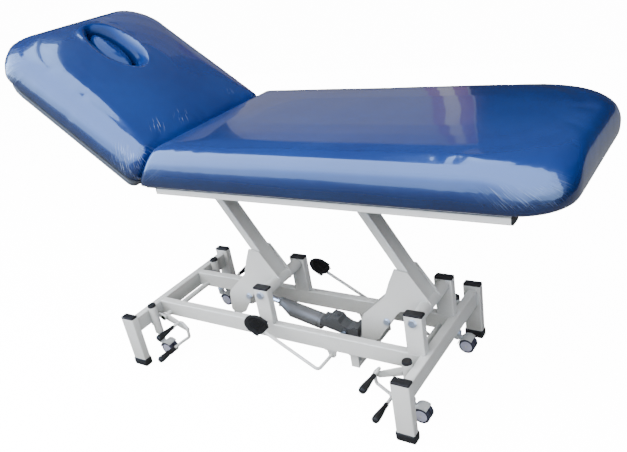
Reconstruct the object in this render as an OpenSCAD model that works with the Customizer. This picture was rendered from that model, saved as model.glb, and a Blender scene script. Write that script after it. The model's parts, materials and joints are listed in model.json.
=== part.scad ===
// Two-section treatment couch on a parallelogram lift.
// +X points to the foot end, +Z is up, and the four rubber feet stand on z = 0.
// The head section is drawn raised; the lift is drawn near the top of its travel.

/* [Base frame] */
// Middle of the base to the middle of an end post, along the couch
post_x = 559; // [500:1:640]
// Centre line to the middle of an end post
post_y = 285; // [260:1:330]
// Larger side of the base tube
tube_w = 60; // [50:1:70]
// Smaller side of the base tube
tube_t = 30; // [26:1:36]
// Wall of the steel tubes
tube_wall = 2; // [1.5:0.1:3]
// Corner radius of the steel tubes
tube_r = 4; // [2.5:0.1:6]
// Height of the open top of an end post
post_top = 211; // [204:1:249]
// Height of the top face of the rails and crossbars
rail_top = 196; // [189:1:203]
// Centre line to the middle of a long base rail
rail_y = 115; // [105:1:140]
// Middle of the base to the middle of a crossbar
cross_x = 562; // [557:1:566]
// Height of the open top of a pivot post
pivot_post_top = 329; // [327:1:349]
// Height of a rubber foot
foot_h = 32; // [24:1:44]
// Thickness of the rubber under and round a post
foot_wall = 3; // [2:0.1:5]
// Depth of rubber under the end of a post
foot_sole = 12; // [8:1:16]

/* [Lift] */
// Height of the lower pivots
pivot_z = 309; // [305:1:313]
// Place of the head-side lower pivot along the couch
head_pivot_x = -28; // [-40:1:-16]
// Distance between the two lift arms
arm_spacing = 562; // [550:1:570]
// Distance between the lower and upper pivot of an arm
arm_len = 453; // [430:1:480]
// Slope of the arms as drawn, in degrees
arm_angle = 58.6; // [50:0.2:68]
// Larger side of the arm tube
arm_w = 60; // [54:1:64]
// Smaller side of the arm tube
arm_t = 30; // [24:1:36]
// Outer diameter of the lower bearing tube
lower_boss_d = 42; // [38:1:48]
// Outer diameter of the upper bearing tube
upper_boss_d = 36; // [32:1:40]
// Diameter of the pivot pins
pin_d = 16; // [14:0.5:18]
// Thickness of a crank plate
crank_t = 6; // [4:0.5:8]
// Distance from the lower pivot to the far tip of a crank plate
crank_reach = 292; // [280:1:294]

/* [Hydraulic ram] */
// Place of the ram's tail pin along the couch
tail_x = 290; // [284:1:294]
// Height of the ram's tail pin
tail_z = 128; // [126:1:133]
// Diameter of the chromed rod
ram_rod_d = 22; // [18:0.5:24]
// Outer diameter of the oil tank
tank_d = 58; // [52:1:58.5]
// Distance from the tail pin to the mouth of the ram
ram_mouth = 352; // [345:1:354]
// Length of the cast pump block, from the tail pin
block_len = 172; // [160:1:180]

/* [Foot pedals] */
// Place of the pedal shaft along the couch
pedal_x = 216; // [205:1:225]
// Height of the pedal shaft
pedal_z = 112; // [104:1:114]
// Diameter of the bent pedal rod
pedal_rod_d = 12; // [10:0.5:14]
// Centre line to the pedal rods
pedal_y = 208; // [200:1:215]
// Shaft to the near edge of a pedal pad, along the couch
pedal_run = 198; // [185:1:205]
// Rise of that edge above the shaft
pedal_rise = 112; // [105:1:118]
// Length of a pedal pad
pad_len = 66; // [60:1:80]
// Width of a pedal pad
pad_w = 62; // [54:1:72]
// Thickness of a pedal pad
pad_t = 16; // [15:1:22]

/* [Castors] */
// Middle of the base to a castor stem
stem_x = 533; // [531:1:535]
// Centre line to a castor stem
stem_y = 190; // [184:1:196]
// Diameter of a castor stem
stem_d = 20; // [18:0.5:22]
// Outer diameter of the sleeve round a stem
sleeve_d = 32; // [30:0.5:33]
// Height of the lower end of a sleeve
sleeve_low = 93; // [91:1:97]
// Height of the top of a sleeve
sleeve_top = 207; // [201:1:213]
// Diameter of a castor wheel
wheel_d = 55; // [48:1:56]
// Tread width of a castor wheel
wheel_w = 15; // [12:0.5:16]
// Distance the wheel trails behind its swivel
castor_trail = 35; // [32:1:38]
// Height of a castor axle with the castors raised
axle_z = 29; // [28.5:0.5:31]
// Middle of the base to the axis of a castor lift shaft
lift_bar_x = 510; // [508:1:512]
// Height of a castor lift shaft
lift_bar_z = 149; // [147:1:151]
// Diameter of a castor lift shaft
lift_bar_d = 20; // [18:0.5:21]
// Diameter of the bent lever rod
lever_rod_d = 12; // [10:0.5:13]
// Length of a lever grip
grip_len = 85; // [75:1:100]
// Diameter of a grip at its free end
grip_d = 26; // [22:1:30]
// Throw of the crank that pushes a castor down
throw = 23; // [22:0.5:24]

/* [Couch top] */
// Width of the cushions
couch_w = 654; // [640:1:680]
// Hinge to the foot end of the couch
main_len = 1264; // [1200:1:1320]
// Hinge to the far end of the head section
head_len = 640; // [600:1:670]
// Thickness of a cushion
cushion_t = 128; // [110:1:136]
// Thickness of the boards under the cushions
board_t = 15; // [13:0.5:16]
// Place of the hinge between the sections along the couch
hinge_x = -268; // [-274:1:-264]
// Slope of the head section as drawn, in degrees
head_angle = 36; // [30:1:40]
// Corner radius of the cushions at the couch's ends
end_r = 138; // [110:1:150]
// Corner radius of the cushions beside the hinge
hinge_r = 22; // [16:1:30]
// How far the side rails stand in from the edge of the cushions
side_rail_in = 21; // [17:1:31]
// Width of the top frame's tubes
top_tube_w = 40; // [36:1:44]
// Height of the top frame's tubes
top_tube_h = 20; // [18:1:21]
// Head end of the couch to the middle of the breathing slot
slot_from_end = 188; // [165:1:200]
// Length of the breathing slot
slot_len = 206; // [180:1:220]
// Width of the breathing slot
slot_w = 104; // [90:1:114]

/* [Hidden] */
$fn = 48;

// How far a cut runs past the face it opens
over = 4;
// Radial play of a turning or sliding fit
fit = 0.08;
// Play between parts that pass each other
play = 0.5;
// Bite of a weld into the tube it joins
weld = 0.5;
// Thickness of the flat steel used for brackets
plate = 6;
// Steps in a tube's rounded corner
arc_steps = 3;
// Steps in a bend of a rod
bend_steps = 5;
// Flats around a bent rod
rod_sides = 16;
// Radius of a rod's bends
rod_bend = 14;
// How much thinner a bent rod is drawn than a round bar that it runs on from
rod_step = 0.2;

rail_mid = rail_top - tube_w / 2;
rail_low = rail_top - tube_w;
foot_pivot_x = head_pivot_x + arm_spacing;
post_in = rail_y - tube_t / 2;
post_out = rail_y + tube_t / 2;
arm_dx = -arm_len * cos(arm_angle);
arm_dz = arm_len * sin(arm_angle);
top_pivot_z = pivot_z + arm_dz;

// Pivots of the top frame below the underside of the main board
ear_drop = 70;
board_z = top_pivot_z + ear_drop;
// The sections hinge at mid height of the top frame's tubes
hinge_drop = top_tube_h / 2;
hinge_z = board_z - hinge_drop;
// Gap between the two cushions where they meet
valley = 2;
// Distance the head section's end stands back from the hinge line
set_back = 6;
// Distance of a board's edge inside the edge of its cushion
board_inset = 4;

// The origin lies below the middle of the whole couch
head_end_x = hinge_x - (head_len - board_inset) * cos(head_angle) + hinge_drop * sin(head_angle);
foot_end_x = hinge_x + main_len;
shift_x = -(head_end_x + foot_end_x) / 2;
module place() { translate([shift_x, 0, 0]) children(); }

// Play between a cushion and the board it lies on
soft_gap = 0.3;

/* Colours */
steel_white = [0.87, 0.87, 0.84];
plug_black = [0.08, 0.08, 0.09];
vinyl_blue = [0.10, 0.27, 0.62];
bright = [0.78, 0.79, 0.80];
pump_grey = [0.36, 0.37, 0.39];
wheel_grey = [0.70, 0.70, 0.78];
hood_grey = [0.80, 0.81, 0.80];
board_grey = [0.45, 0.45, 0.44];

// Points of a rectangle with round corners
function round_rect(w, h, r) = [
  for (q = [0:3]) for (i = [0:arc_steps])
    let (a = 90 * q + 90 * i / arc_steps,
         sx = (q == 0 || q == 3) ? 1 : -1,
         sy = q < 2 ? 1 : -1)
    [sx * (w / 2 - r) + r * cos(a), sy * (h / 2 - r) + r * sin(a)]
];

// Outline of a hollow tube, w across X and h across Y
module tube_section(w, h) {
  difference() {
    polygon(round_rect(w, h, tube_r));
    polygon(round_rect(w - 2 * tube_wall, h - 2 * tube_wall, tube_r - tube_wall / 2));
  }
}
module tube_along_x(x0, x1, w, h) {
  translate([x0, 0, 0]) rotate([90, 0, 90]) linear_extrude(x1 - x0) tube_section(w, h);
}
module tube_along_y(half, w, h) {
  rotate([90, 0, 0]) linear_extrude(2 * half, center = true) tube_section(w, h);
}
module tube_along_z(z0, z1, w, h) {
  translate([0, 0, z0]) linear_extrude(z1 - z0) tube_section(w, h);
}
// A round bar or bore lying across the couch
module across(d, half) {
  rotate([90, 0, 0]) cylinder(d = d, h = 2 * half, center = true);
}
module both_sides() {
  children();
  mirror([0, 1, 0]) children();
}
module both_ends() {
  children();
  mirror([1, 0, 0]) children();
}
module at_pivots() {
  for (x = [head_pivot_x, foot_pivot_x]) translate([x, 0, 0]) children();
}
function unit(v) = v / norm(v);
// The points p with each corner turned into an arc of radius bend
function bent_path(p, bend) = [for (i = [0:len(p) - 1]) each
  i == 0 || i == len(p) - 1 ? [p[i]] :
  let (u = unit(p[i] - p[i - 1]), w = unit(p[i + 1] - p[i]), turn = acos(u * w),
    side = unit(w - u * (u * w)), centre = p[i] - u * bend * tan(turn / 2) + side * bend)
    [for (k = [0:bend_steps]) let (a = turn * k / bend_steps)
      centre - side * bend * cos(a) + u * bend * sin(a)]
];
// Rings of points around a path, each slid on from the one before along the rod
function rod_rings(p, d) = [for (i = 0, ring = first_ring(p, d); i < len(p); i = i + 1,
    ring = i < len(p) ? let (u = unit(p[i] - p[i - 1]),
      b = i < len(p) - 1 ? unit(u + unit(p[i + 1] - p[i])) : u)
        [for (q = ring) q + u * (((p[i] - q) * b) / (u * b))] : []) ring];
function first_ring(p, d) = let (u = unit(p[1] - p[0]),
  s = unit(cross(u, abs(u[2]) < 0.7 ? [0, 0, 1] : [1, 0, 0])), t = cross(u, s))
  [for (k = [0:rod_sides - 1]) let (a = 360 * (k + 0.5) / rod_sides)
    p[0] + (s * cos(a) - t * sin(a)) * d / 2];
// A bent round rod through the points p
module bent_rod(p, d, bend) {
  rings = rod_rings(bent_path(p, bend), d);
  n = rod_sides;
  last = n * (len(rings) - 1);
  polyhedron(points = [for (r = rings) each r], convexity = 6, faces = concat(
    [[for (k = [0:n - 1]) n - 1 - k]], [[for (k = [0:n - 1]) last + k]],
    [for (i = [0:len(rings) - 2], k = [0:n - 1], h = [0, 1]) let (m = (k + 1) % n) h == 0
      ? [n * i + k, n * i + m, n * i + n + m] : [n * i + k, n * i + n + m, n * i + n + k]]));
}

/* Base */
bar_bore_d = lift_bar_d + 2 * fit;
stem_bore_d = stem_d + 2 * fit;
// Half height of the window that the castor crank works through
window_half = throw * 0.75;
window_w = 16;
crank_pin_d = 8;

module base_tubes() {
  both_ends() both_sides()
    translate([post_x, post_y, 0]) tube_along_z(foot_sole, post_top, tube_w, tube_t);
  both_ends()
    translate([cross_x, 0, rail_mid]) tube_along_y(post_y - tube_t / 2 + weld, tube_t, tube_w);
  both_sides() translate([0, rail_y, rail_mid])
    tube_along_x(-cross_x + tube_t / 2 - weld, cross_x - tube_t / 2 + weld, tube_t, tube_w);
  at_pivots() both_sides() translate([0, rail_y, 0])
    tube_along_z(rail_top - weld, pivot_post_top, tube_w, tube_t);
}
module base_frame() color(steel_white) place() difference() {
  union() {
    base_tubes();
    both_ends() both_sides() translate([stem_x, stem_y, sleeve_low])
      cylinder(d = sleeve_d, h = sleeve_top - sleeve_low);
    // web that ties each sleeve to its crossbar
    both_ends() both_sides() translate([stem_x, stem_y, rail_low - window_half])
      translate([0, -plate / 2, 0]) cube([cross_x - stem_x, plate, tube_w / 2]);
  }
  both_ends() both_sides() translate([stem_x, stem_y, sleeve_low - over])
    cylinder(d = stem_bore_d, h = sleeve_top - sleeve_low + 2 * over);
  // windows on the inner side of the sleeves
  both_ends() both_sides() translate([stem_x, stem_y - sleeve_d / 2, lift_bar_z])
    cube([window_w, sleeve_d, 2 * window_half], center = true);
  both_ends() translate([lift_bar_x, 0, lift_bar_z]) across(bar_bore_d, post_out + over);
  at_pivots() translate([0, 0, pivot_z]) across(pin_d + 2 * fit, post_out + over);
}

// Plugs in the open tops of the posts
plug_h = 6.5;
plug_depth = 10;
plug_bevel = 1.5;
module post_plug() {
  hull() {
    linear_extrude(plug_h - plug_bevel) polygon(round_rect(tube_w, tube_t, tube_r));
    linear_extrude(plug_h)
      polygon(round_rect(tube_w - 2 * plug_bevel, tube_t - 2 * plug_bevel, tube_r));
  }
  translate([0, 0, -plug_depth]) linear_extrude(plug_depth)
    polygon(round_rect(tube_w - 2 * tube_wall - 2 * play, tube_t - 2 * tube_wall - 2 * play,
      tube_r - tube_wall / 2));
}
module post_plugs() color(plug_black) place() {
  both_ends() both_sides() translate([post_x, post_y, post_top]) post_plug();
  at_pivots() both_sides() translate([0, rail_y, pivot_post_top]) post_plug();
}

// Rubber cups that the posts stand in
foot_bevel = 3;
// Each foot narrows below the post, along the couch and across it
foot_round = foot_sole * 0.8;
foot_taper = 7;
foot_w = tube_w + 2 * foot_wall;
foot_t = tube_t + 2 * foot_wall;
module rubber_foot() {
  difference() {
    hull() {
      translate([0, 0, foot_round]) linear_extrude(foot_h - foot_round)
        polygon(round_rect(foot_w, foot_t, tube_r + foot_wall));
      translate([0, 0, foot_round * 0.3]) linear_extrude(foot_round * 0.3)
        polygon(round_rect(foot_w - foot_taper, foot_t - foot_taper / 2, tube_r + foot_wall));
      linear_extrude(foot_round * 0.3)
        polygon(round_rect(foot_w - 2 * foot_taper, foot_t - foot_taper, tube_r));
    }
    translate([0, 0, foot_sole]) linear_extrude(foot_h)
      polygon(round_rect(tube_w + 2 * fit, tube_t + 2 * fit, tube_r));
    // relieved underside
    translate([0, 0, -over]) linear_extrude(over + foot_bevel)
      polygon(round_rect(tube_w - 2 * tube_t / 3, tube_t / 3, tube_r));
  }
}
module rubber_feet() color(plug_black) place()
  both_ends() both_sides() translate([post_x, post_y, 0]) rubber_foot();

cap_h = 9;
cap_skirt = 3;
module sleeve_cap() {
  rotate_extrude() intersection() {
    union() {
      square([sleeve_d / 2, cap_skirt]);
      translate([0, cap_skirt]) scale(sleeve_d / 2 / cap_h) circle(r = cap_h);
    }
    square([sleeve_d / 2, cap_h]);
  }
  translate([0, 0, -plug_depth / 2]) cylinder(d = stem_d - 2 * play, h = plug_depth / 2);
}
module sleeve_caps() color(plug_black) place()
  both_ends() both_sides() translate([stem_x, stem_y, sleeve_top]) sleeve_cap();

/* Lift */
head_d = 26;
head_h = 8;
nut_h = 10;
bush_flange = 2;
bush_flange_d = 34;
lower_half = post_in - play - bush_flange;

module hex_prism(flats, h) { cylinder(d = flats / cos(30), h = h, $fn = 6); }
module pivot_pin() {
  translate([0, -post_out - head_h, 0]) rotate([-90, 0, 0])
    cylinder(d = pin_d, h = 2 * post_out + head_h + nut_h + play);
  translate([0, -post_out, 0]) rotate([90, 0, 0]) {
    cylinder(d = head_d, h = head_h / 4);
    translate([0, 0, head_h / 4]) hex_prism(head_d * 0.86, head_h * 0.75);
  }
  translate([0, post_out, 0]) rotate([-90, 0, 0]) hex_prism(head_d * 0.92, nut_h);
}
module pivot_pins() color(bright) place()
  at_pivots() translate([0, 0, pivot_z]) pivot_pin();
// Flanged bushes beside the bearing tubes of the arms
module pivot_bushes() color(bright) place() at_pivots() both_sides()
  translate([0, post_in - play / 2, pivot_z]) rotate([-90, 0, 0]) difference() {
    translate([0, 0, -bush_flange]) cylinder(d = bush_flange_d, h = bush_flange);
    translate([0, 0, -bush_flange - over])
      cylinder(d = pin_d + 2 * fit, h = bush_flange + 2 * over);
  }

// Outline of a crank plate about the lower pivot, as shares of its reach
crank_shares = [
  [-0.165, 0.380], [-0.320, 0.400], [-0.400, 0.230], [-0.472, 0.040], [-0.560, -0.045],
  [-0.770, -0.240], [-0.800, -0.300], [-0.832, -0.530], [-0.800, -0.572], [-0.680, -0.572],
  [-0.610, -0.540], [-0.350, -0.165], [-0.300, -0.115], [-0.035, -0.085], [0.050, -0.060],
  [0.080, 0.000], [0.060, 0.055]
];
crank_out = arm_w / 2 + crank_t;
// Place of the ram's pin on the crank, from the lower pivot
crank_pin_x = -140;
crank_pin_z = -82;
crank_bolt_d = 12;

// Turns children so that +Z runs up along an arm
module along_arm() { rotate([0, arm_angle - 90, 0]) children(); }
// Length of the upper bearing tube's half
upper_half = 44;

module lift_arm() difference() {
  union() {
    across(lower_boss_d, lower_half);
    along_arm() {
      tube_along_z(0, arm_len, arm_t, arm_w);
      translate([0, 0, arm_len]) across(upper_boss_d, upper_half);
    }
    both_sides() translate([0, crank_out, 0]) rotate([90, 0, 0]) linear_extrude(crank_t)
      polygon([for (s = crank_shares) s * crank_reach]);
  }
  across(pin_d + 2 * fit, lower_half + over);
  along_arm() translate([0, 0, arm_len]) across(pin_d + 2 * fit, upper_half + over);
  translate([crank_pin_x, 0, crank_pin_z]) across(crank_bolt_d + 2 * fit, crank_out + over);
}
module head_arm() color(steel_white) place()
  translate([head_pivot_x, 0, pivot_z]) lift_arm();
module foot_arm() color(steel_white) place()
  translate([foot_pivot_x, 0, pivot_z]) lift_arm();

// Short bolts that close the holes of the two crank plates
module crank_bolts() both_sides() translate([crank_pin_x, crank_out, crank_pin_z]) {
  rotate([-90, 0, 0]) {
    cylinder(d = crank_bolt_d * 2, h = plate / 4);
    hex_prism(crank_bolt_d * 1.5, crank_bolt_d * 0.6);
  }
  rotate([90, 0, 0]) cylinder(d = crank_bolt_d, h = crank_t);
}
module head_arm_bolts() color(bright) place()
  translate([head_pivot_x, 0, pivot_z]) crank_bolts();
module foot_arm_bolts() color(bright) place()
  translate([foot_pivot_x, 0, pivot_z]) crank_bolts();

/* Top frame */
ear_in = upper_half + play;
ear_r = 22;
spine_y = ear_in + plate / 2;
spine_head_x = head_pivot_x + arm_dx - 1.15 * ear_r;
top_from_hinge = 82;
top_from_foot = 105;
spine_past_arm = 130;
top_head_x = hinge_x + top_from_hinge;
top_foot_x = foot_end_x - top_from_foot;
spine_foot_x = foot_pivot_x + arm_dx + spine_past_arm;
side_rail_mid = couch_w / 2 - side_rail_in - top_tube_w / 2;
// Places of the cross tubes between the two ends, as shares of the frame's length
cross_shares = [0.30, 0.62];
top_cross = [for (s = cross_shares) top_head_x + s * (top_foot_x - top_head_x)];
// Places of the cross tubes at the head end and towards the foot end
first_cross = top_head_x + top_tube_w / 2;
last_cross_share = 0.955;
last_cross = top_head_x + last_cross_share * (top_foot_x - top_head_x);

module ear() {
  difference() {
    translate([0, plate, 0]) rotate([90, 0, 0]) linear_extrude(plate) {
      circle(r = ear_r);
      polygon([[-ear_r, 0], [ear_r, 0], [2 * ear_r, ear_drop - top_tube_h + weld],
        [-ear_r, ear_drop - top_tube_h + weld]]);
    }
    across(pin_d + 2 * fit, plate + over);
  }
}
module top_frame() color(steel_white) place() {
  both_sides() {
    translate([0, side_rail_mid, hinge_z])
      tube_along_x(top_head_x, top_foot_x, top_tube_w, top_tube_h);
    translate([0, spine_y, hinge_z])
      tube_along_x(spine_head_x, spine_foot_x, top_tube_w, top_tube_h);
    for (x = [head_pivot_x, foot_pivot_x])
      translate([x + arm_dx, ear_in, top_pivot_z]) ear();
  }
  for (x = concat(top_cross, [first_cross, last_cross]))
    for (k = [-1, 1]) translate([x, k * (side_rail_mid + spine_y) / 2, hinge_z])
      tube_along_y((side_rail_mid - spine_y - top_tube_w) / 2 + weld, top_tube_w, top_tube_h);
  for (x = concat(top_cross, [last_cross]))
    translate([x, 0, hinge_z])
      tube_along_y(x > spine_foot_x ? side_rail_mid - top_tube_w / 2 + weld
        : spine_y - top_tube_w / 2 + weld, top_tube_w, top_tube_h);
}

rail_plug_h = 4;
module rail_plug() rotate([0, 90, 0]) {
  linear_extrude(rail_plug_h) polygon(round_rect(top_tube_h, top_tube_w, tube_r));
  translate([0, 0, -plug_depth]) linear_extrude(plug_depth)
    polygon(round_rect(top_tube_h - 2 * tube_wall - 2 * play,
      top_tube_w - 2 * tube_wall - 2 * play, tube_r - tube_wall / 2));
}
module rail_plugs() color(plug_black) place() both_sides()
  translate([0, side_rail_mid, hinge_z]) {
    translate([top_foot_x, 0, 0]) rail_plug();
    translate([top_head_x, 0, 0]) mirror([1, 0, 0]) rail_plug();
  }

module top_pin() {
  across(pin_d, ear_in + plate + play);
  both_sides() translate([0, ear_in + plate, 0]) rotate([-90, 0, 0])
    hex_prism(head_d * 0.86, head_h * 0.75);
}
module top_pins() color(bright) place() for (x = [head_pivot_x, foot_pivot_x])
  translate([x + arm_dx, 0, top_pivot_z]) top_pin();

/* Boards and cushions */
corner_steps = 7;
// Outline of a section seen from above: x0 at the head, x1 at the foot
function section(x0, x1, w, r0, r1) = [
  for (q = [0:3]) for (i = [0:corner_steps])
    let (a = 90 * q + 90 * i / corner_steps,
         foot = q == 0 || q == 3,
         r = foot ? r1 : r0,
         cx = foot ? x1 - r1 : x0 + r0,
         cy = (q < 2 ? 1 : -1) * (w / 2 - r))
    [cx + r * cos(a), cy + r * sin(a)]
];
ring_n = 4 * (corner_steps + 1);
// Joins rings of equal count into one closed skin
module skin(rings) {
  m = len(rings);
  polyhedron(
    points = [for (r = rings) for (p = r) p],
    faces = concat(
      [[for (i = [0:ring_n - 1]) i]],
      [for (k = [0:m - 2]) for (i = [0:ring_n - 1]) for (h = [0, 1])
        let (a = k * ring_n + i, b = k * ring_n + (i + 1) % ring_n,
             c = b + ring_n, d = a + ring_n)
        h == 0 ? [a, c, b] : [a, d, c]],
      [[for (i = [ring_n - 1:-1:0]) (m - 1) * ring_n + i]]
    )
  );
}
// Edge of a cushion from the bottom up: how far in, as shares of its edge radius,
// and how high, as shares of the height that its crown starts from
edge_r = 54;
crown = 16;
side_h = cushion_t - crown;
edge_shares = [
  [0.02, 0.10], [0.00, 0.26], [0.03, 0.48], [0.12, 0.70], [0.36, 0.88], [0.68, 0.965], [1.00, 1.00]
];
// The main cushion's cover is drawn down round the edge of its board
rim_shares = [[0.385, 0.000], [0.370, -0.085], [0.260, -0.105], [0.100, -0.040]];
base_shares = [[0.12, 0.000], [0.05, 0.035]];
// Gentle rise to the middle of the top: how far in, as shares of half the width,
// and how high, as shares of the crown
crown_shares = [[0.26, 0.48], [0.42, 0.80], [0.62, 1.00]];
// Upper rings turn their corners wider; beside the hinge the edges stay tighter
corner_share = 0.6;
hinge_share = 0.55;
function ring_r(r, e, high) = r < edge_r ? max(r - hinge_share * e, r / 3)
  : min(high ? r + corner_share * e : r - min(e, r / 4), (couch_w / 2 - e) * 0.9);
// k0 and k1 tell how much of each inset the head end and the foot end take
function cushion_rings(low, x0, x1, slant, r0, r1, k0, k1) = concat(
  [for (s = concat(low, edge_shares))
    let (e = s[0] * edge_r, z = s[1] * side_h, high = s[1] > 0.4)
    [for (p = section(x0 + z * slant + k0 * e, x1 - k1 * e, couch_w - 2 * e,
        ring_r(r0, e, high), ring_r(r1, e, high))) [p[0], p[1], z]]],
  [for (s = crown_shares)
    let (e = s[0] * couch_w / 2, z = side_h + s[1] * crown)
    [for (p = section(x0 + z * slant + e, x1 - e, couch_w - 2 * e,
        ring_r(max(r0, edge_r), e, true), ring_r(max(r1, edge_r), e, true))) [p[0], p[1], z]]]
);

cushion_z = board_z + board_t + soft_gap;
// The foot section's end leans back to meet the raised head section
lean = tan(head_angle);
main_x0 = (set_back - valley) / -cos(head_angle) + (cushion_z - hinge_z) * lean;
module main_cushion() color(vinyl_blue) place()
  translate([hinge_x, 0, cushion_z])
    skin(cushion_rings(rim_shares, main_x0, main_len, lean, hinge_r, end_r, hinge_share, 1));
// Distance of the main board's edge inside the rim of its cushion
rim_inset = edge_r * rim_shares[0][0] + soft_gap;
main_board_x0 = main_x0 + rim_inset;
module main_board() color(board_grey) place()
  translate([hinge_x, 0, board_z]) linear_extrude(board_t)
    polygon(section(main_board_x0, main_len - rim_inset, couch_w - 2 * rim_inset,
      hinge_r / 2, end_r - rim_inset));

// Everything on the head section is laid out flat, then turned up about the hinge
module raised() place()
  translate([hinge_x, 0, hinge_z]) rotate([0, head_angle, 0]) children();
head_soft_z = hinge_drop + board_t + soft_gap;
slot_at = head_len - slot_from_end;
module stadium(grow) {
  square([slot_len - slot_w, slot_w + 2 * grow], center = true);
  for (k = [-1, 1]) translate([k * (slot_len - slot_w) / 2, 0]) circle(d = slot_w + 2 * grow);
}
// Widening of the breathing slot towards the top: height as a share of the cushion,
// growth as a share of the edge radius
flare_shares = [[-0.10, 0.0], [0.62, 0.0], [0.78, 0.08], [0.90, 0.24], [0.975, 0.50], [1.20, 1.6]];
module slot_flare() skin([
  for (s = flare_shares) let (g = s[1] * edge_r, r = slot_w / 2 + g)
    [for (p = section(-slot_len / 2 - g, slot_len / 2 + g, slot_w + 2 * g, r - play, r - play))
      [p[0], p[1], s[0] * cushion_t]]]);
module head_cushion() color(vinyl_blue) raised() difference() {
  translate([0, 0, head_soft_z])
    skin(cushion_rings(base_shares, -head_len, -set_back, 0, end_r, hinge_r, 1, hinge_share));
  translate([-slot_at, 0, head_soft_z]) slot_flare();
}
// Width of the ledge that the plug rests on
ledge = 14;
module head_board() color(board_grey) raised() translate([0, 0, hinge_drop]) difference() {
  linear_extrude(board_t) polygon(section(-head_len + board_inset, -set_back - board_inset,
    couch_w - 2 * board_inset, end_r - board_inset, hinge_r));
  translate([-slot_at, 0, -over]) linear_extrude(board_t + 2 * over) stadium(-ledge);
}
plug_gap = 1.2;
// Side of the slot's padded plug: shrink as a share of its edge radius, height as a share
plug_shares = [[0.10, 0.00], [0.00, 0.06], [0.00, 0.55], [0.05, 0.66], [0.20, 0.76], [0.50, 0.84],
  [0.90, 0.885]];
module slot_plug() color(vinyl_blue) raised()
  translate([-slot_at, 0, head_soft_z]) skin([
    for (s = plug_shares) let (g = plug_gap + s[0] * edge_r, r = slot_w / 2 - g)
      [for (p = section(-slot_len / 2 + g, slot_len / 2 - g, slot_w - 2 * g, r - play, r - play))
        [p[0], p[1], s[1] * cushion_t]]]);

/* Head section's steel frame and hinges */
leaf_y = 190;
leaf_t = 8;
eye_d = 19;
hinge_pin_d = 10;
// How far the head section's tubes stand in from the side rails
head_tube_in = 36;
head_tube_y = side_rail_mid - head_tube_in;
// Hinge line to the near end of the head section's frame, and the couch's end to its far end
head_tube_near = 40;
head_tube_from_end = 120;
head_tube_far = head_len - head_tube_from_end;
module head_frame() color(steel_white) raised() {
  both_sides() translate([0, head_tube_y, 0])
    tube_along_x(-head_tube_far, -head_tube_near, top_tube_w, top_tube_h);
  for (x = [-head_tube_near - top_tube_w / 2, -head_tube_far + top_tube_w / 2])
    translate([x, 0, 0]) tube_along_y(head_tube_y - top_tube_w / 2 + weld, top_tube_w, top_tube_h);
}
// A flat leaf with an eye at the hinge line, reaching len along +X
module leaf(len, bore) {
  difference() {
    translate([0, leaf_t, 0]) rotate([90, 0, 0]) linear_extrude(leaf_t) {
      circle(d = eye_d);
      translate([0, -eye_d / 2]) square([len, eye_d]);
    }
    across(bore, leaf_t + over);
  }
}
// Foot that bolts a leaf to its cross tube
leaf_foot_w = 44;
module leaf_foot(len) {
  translate([len - plate, -leaf_foot_w / 2, -eye_d / 2]) cube([plate, leaf_foot_w, eye_d]);
}
module frame_leaves() color(bright) place() translate([hinge_x, 0, hinge_z]) both_sides()
  translate([0, leaf_y, 0]) {
    leaf(top_head_x - hinge_x, hinge_pin_d + 2 * fit);
    leaf_foot(top_head_x - hinge_x);
  }
module head_leaves() color(bright) raised() both_sides()
  translate([0, leaf_y + leaf_t + play, 0]) mirror([1, 0, 0])
    leaf(head_tube_near, hinge_pin_d + 2 * fit);
module hinge_bolts() color(bright) place() translate([hinge_x, 0, hinge_z]) both_sides()
  translate([0, leaf_y, 0]) rotate([-90, 0, 0]) {
    cylinder(d = hinge_pin_d, h = 2 * leaf_t + 2 * play);
    translate([0, 0, -plate]) cylinder(d = eye_d - play, h = plate);
    translate([0, 0, 2 * leaf_t + 2 * play]) hex_prism(eye_d * 0.8, plate);
  }

/* Ram */
crank_x = head_pivot_x + crank_pin_x;
crank_z = pivot_z + crank_pin_z;
ram_len = norm([crank_x - tail_x, crank_z - tail_z]);
ram_angle = atan2(crank_z - tail_z, tail_x - crank_x);
// Turns children so that +Z runs from the tail pin to the crank, with +X upwards
module along_ram() place()
  translate([tail_x, 0, tail_z]) rotate([0, ram_angle - 90, 0]) children();
// The oil tank hangs lower than the rod
tank_drop = 14;
gland_d = 36;
gland_h = 10;
nose_len = 62;
rod_bore_d = ram_rod_d + 2 * fit;
// Length of rod that stays inside
rod_hidden = 72;
tank_groove = 1.2;
module oil_tank() color(pump_grey) along_ram() difference() {
  union() {
    translate([-tank_drop, 0, block_len]) rotate_extrude() polygon([
      [0, 0], [tank_d / 2, 0], [tank_d / 2, gland_h], [tank_d / 2 - tank_groove, gland_h],
      [tank_d / 2 - tank_groove, gland_h + tank_groove * 2],
      [tank_d / 2, gland_h + tank_groove * 2],
      [tank_d / 2, ram_mouth - nose_len - block_len], [0, ram_mouth - nose_len - block_len]]);
    hull() {
      translate([-tank_drop, 0, ram_mouth - nose_len]) cylinder(d = tank_d, h = gland_h);
      translate([0, 0, ram_mouth - 2 * gland_h]) cylinder(d = gland_d, h = gland_h);
    }
    translate([0, 0, ram_mouth - gland_h]) hex_prism(gland_d * 0.94, gland_h);
  }
  translate([0, 0, block_len + gland_h]) cylinder(d = rod_bore_d, h = ram_mouth);
}
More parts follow.
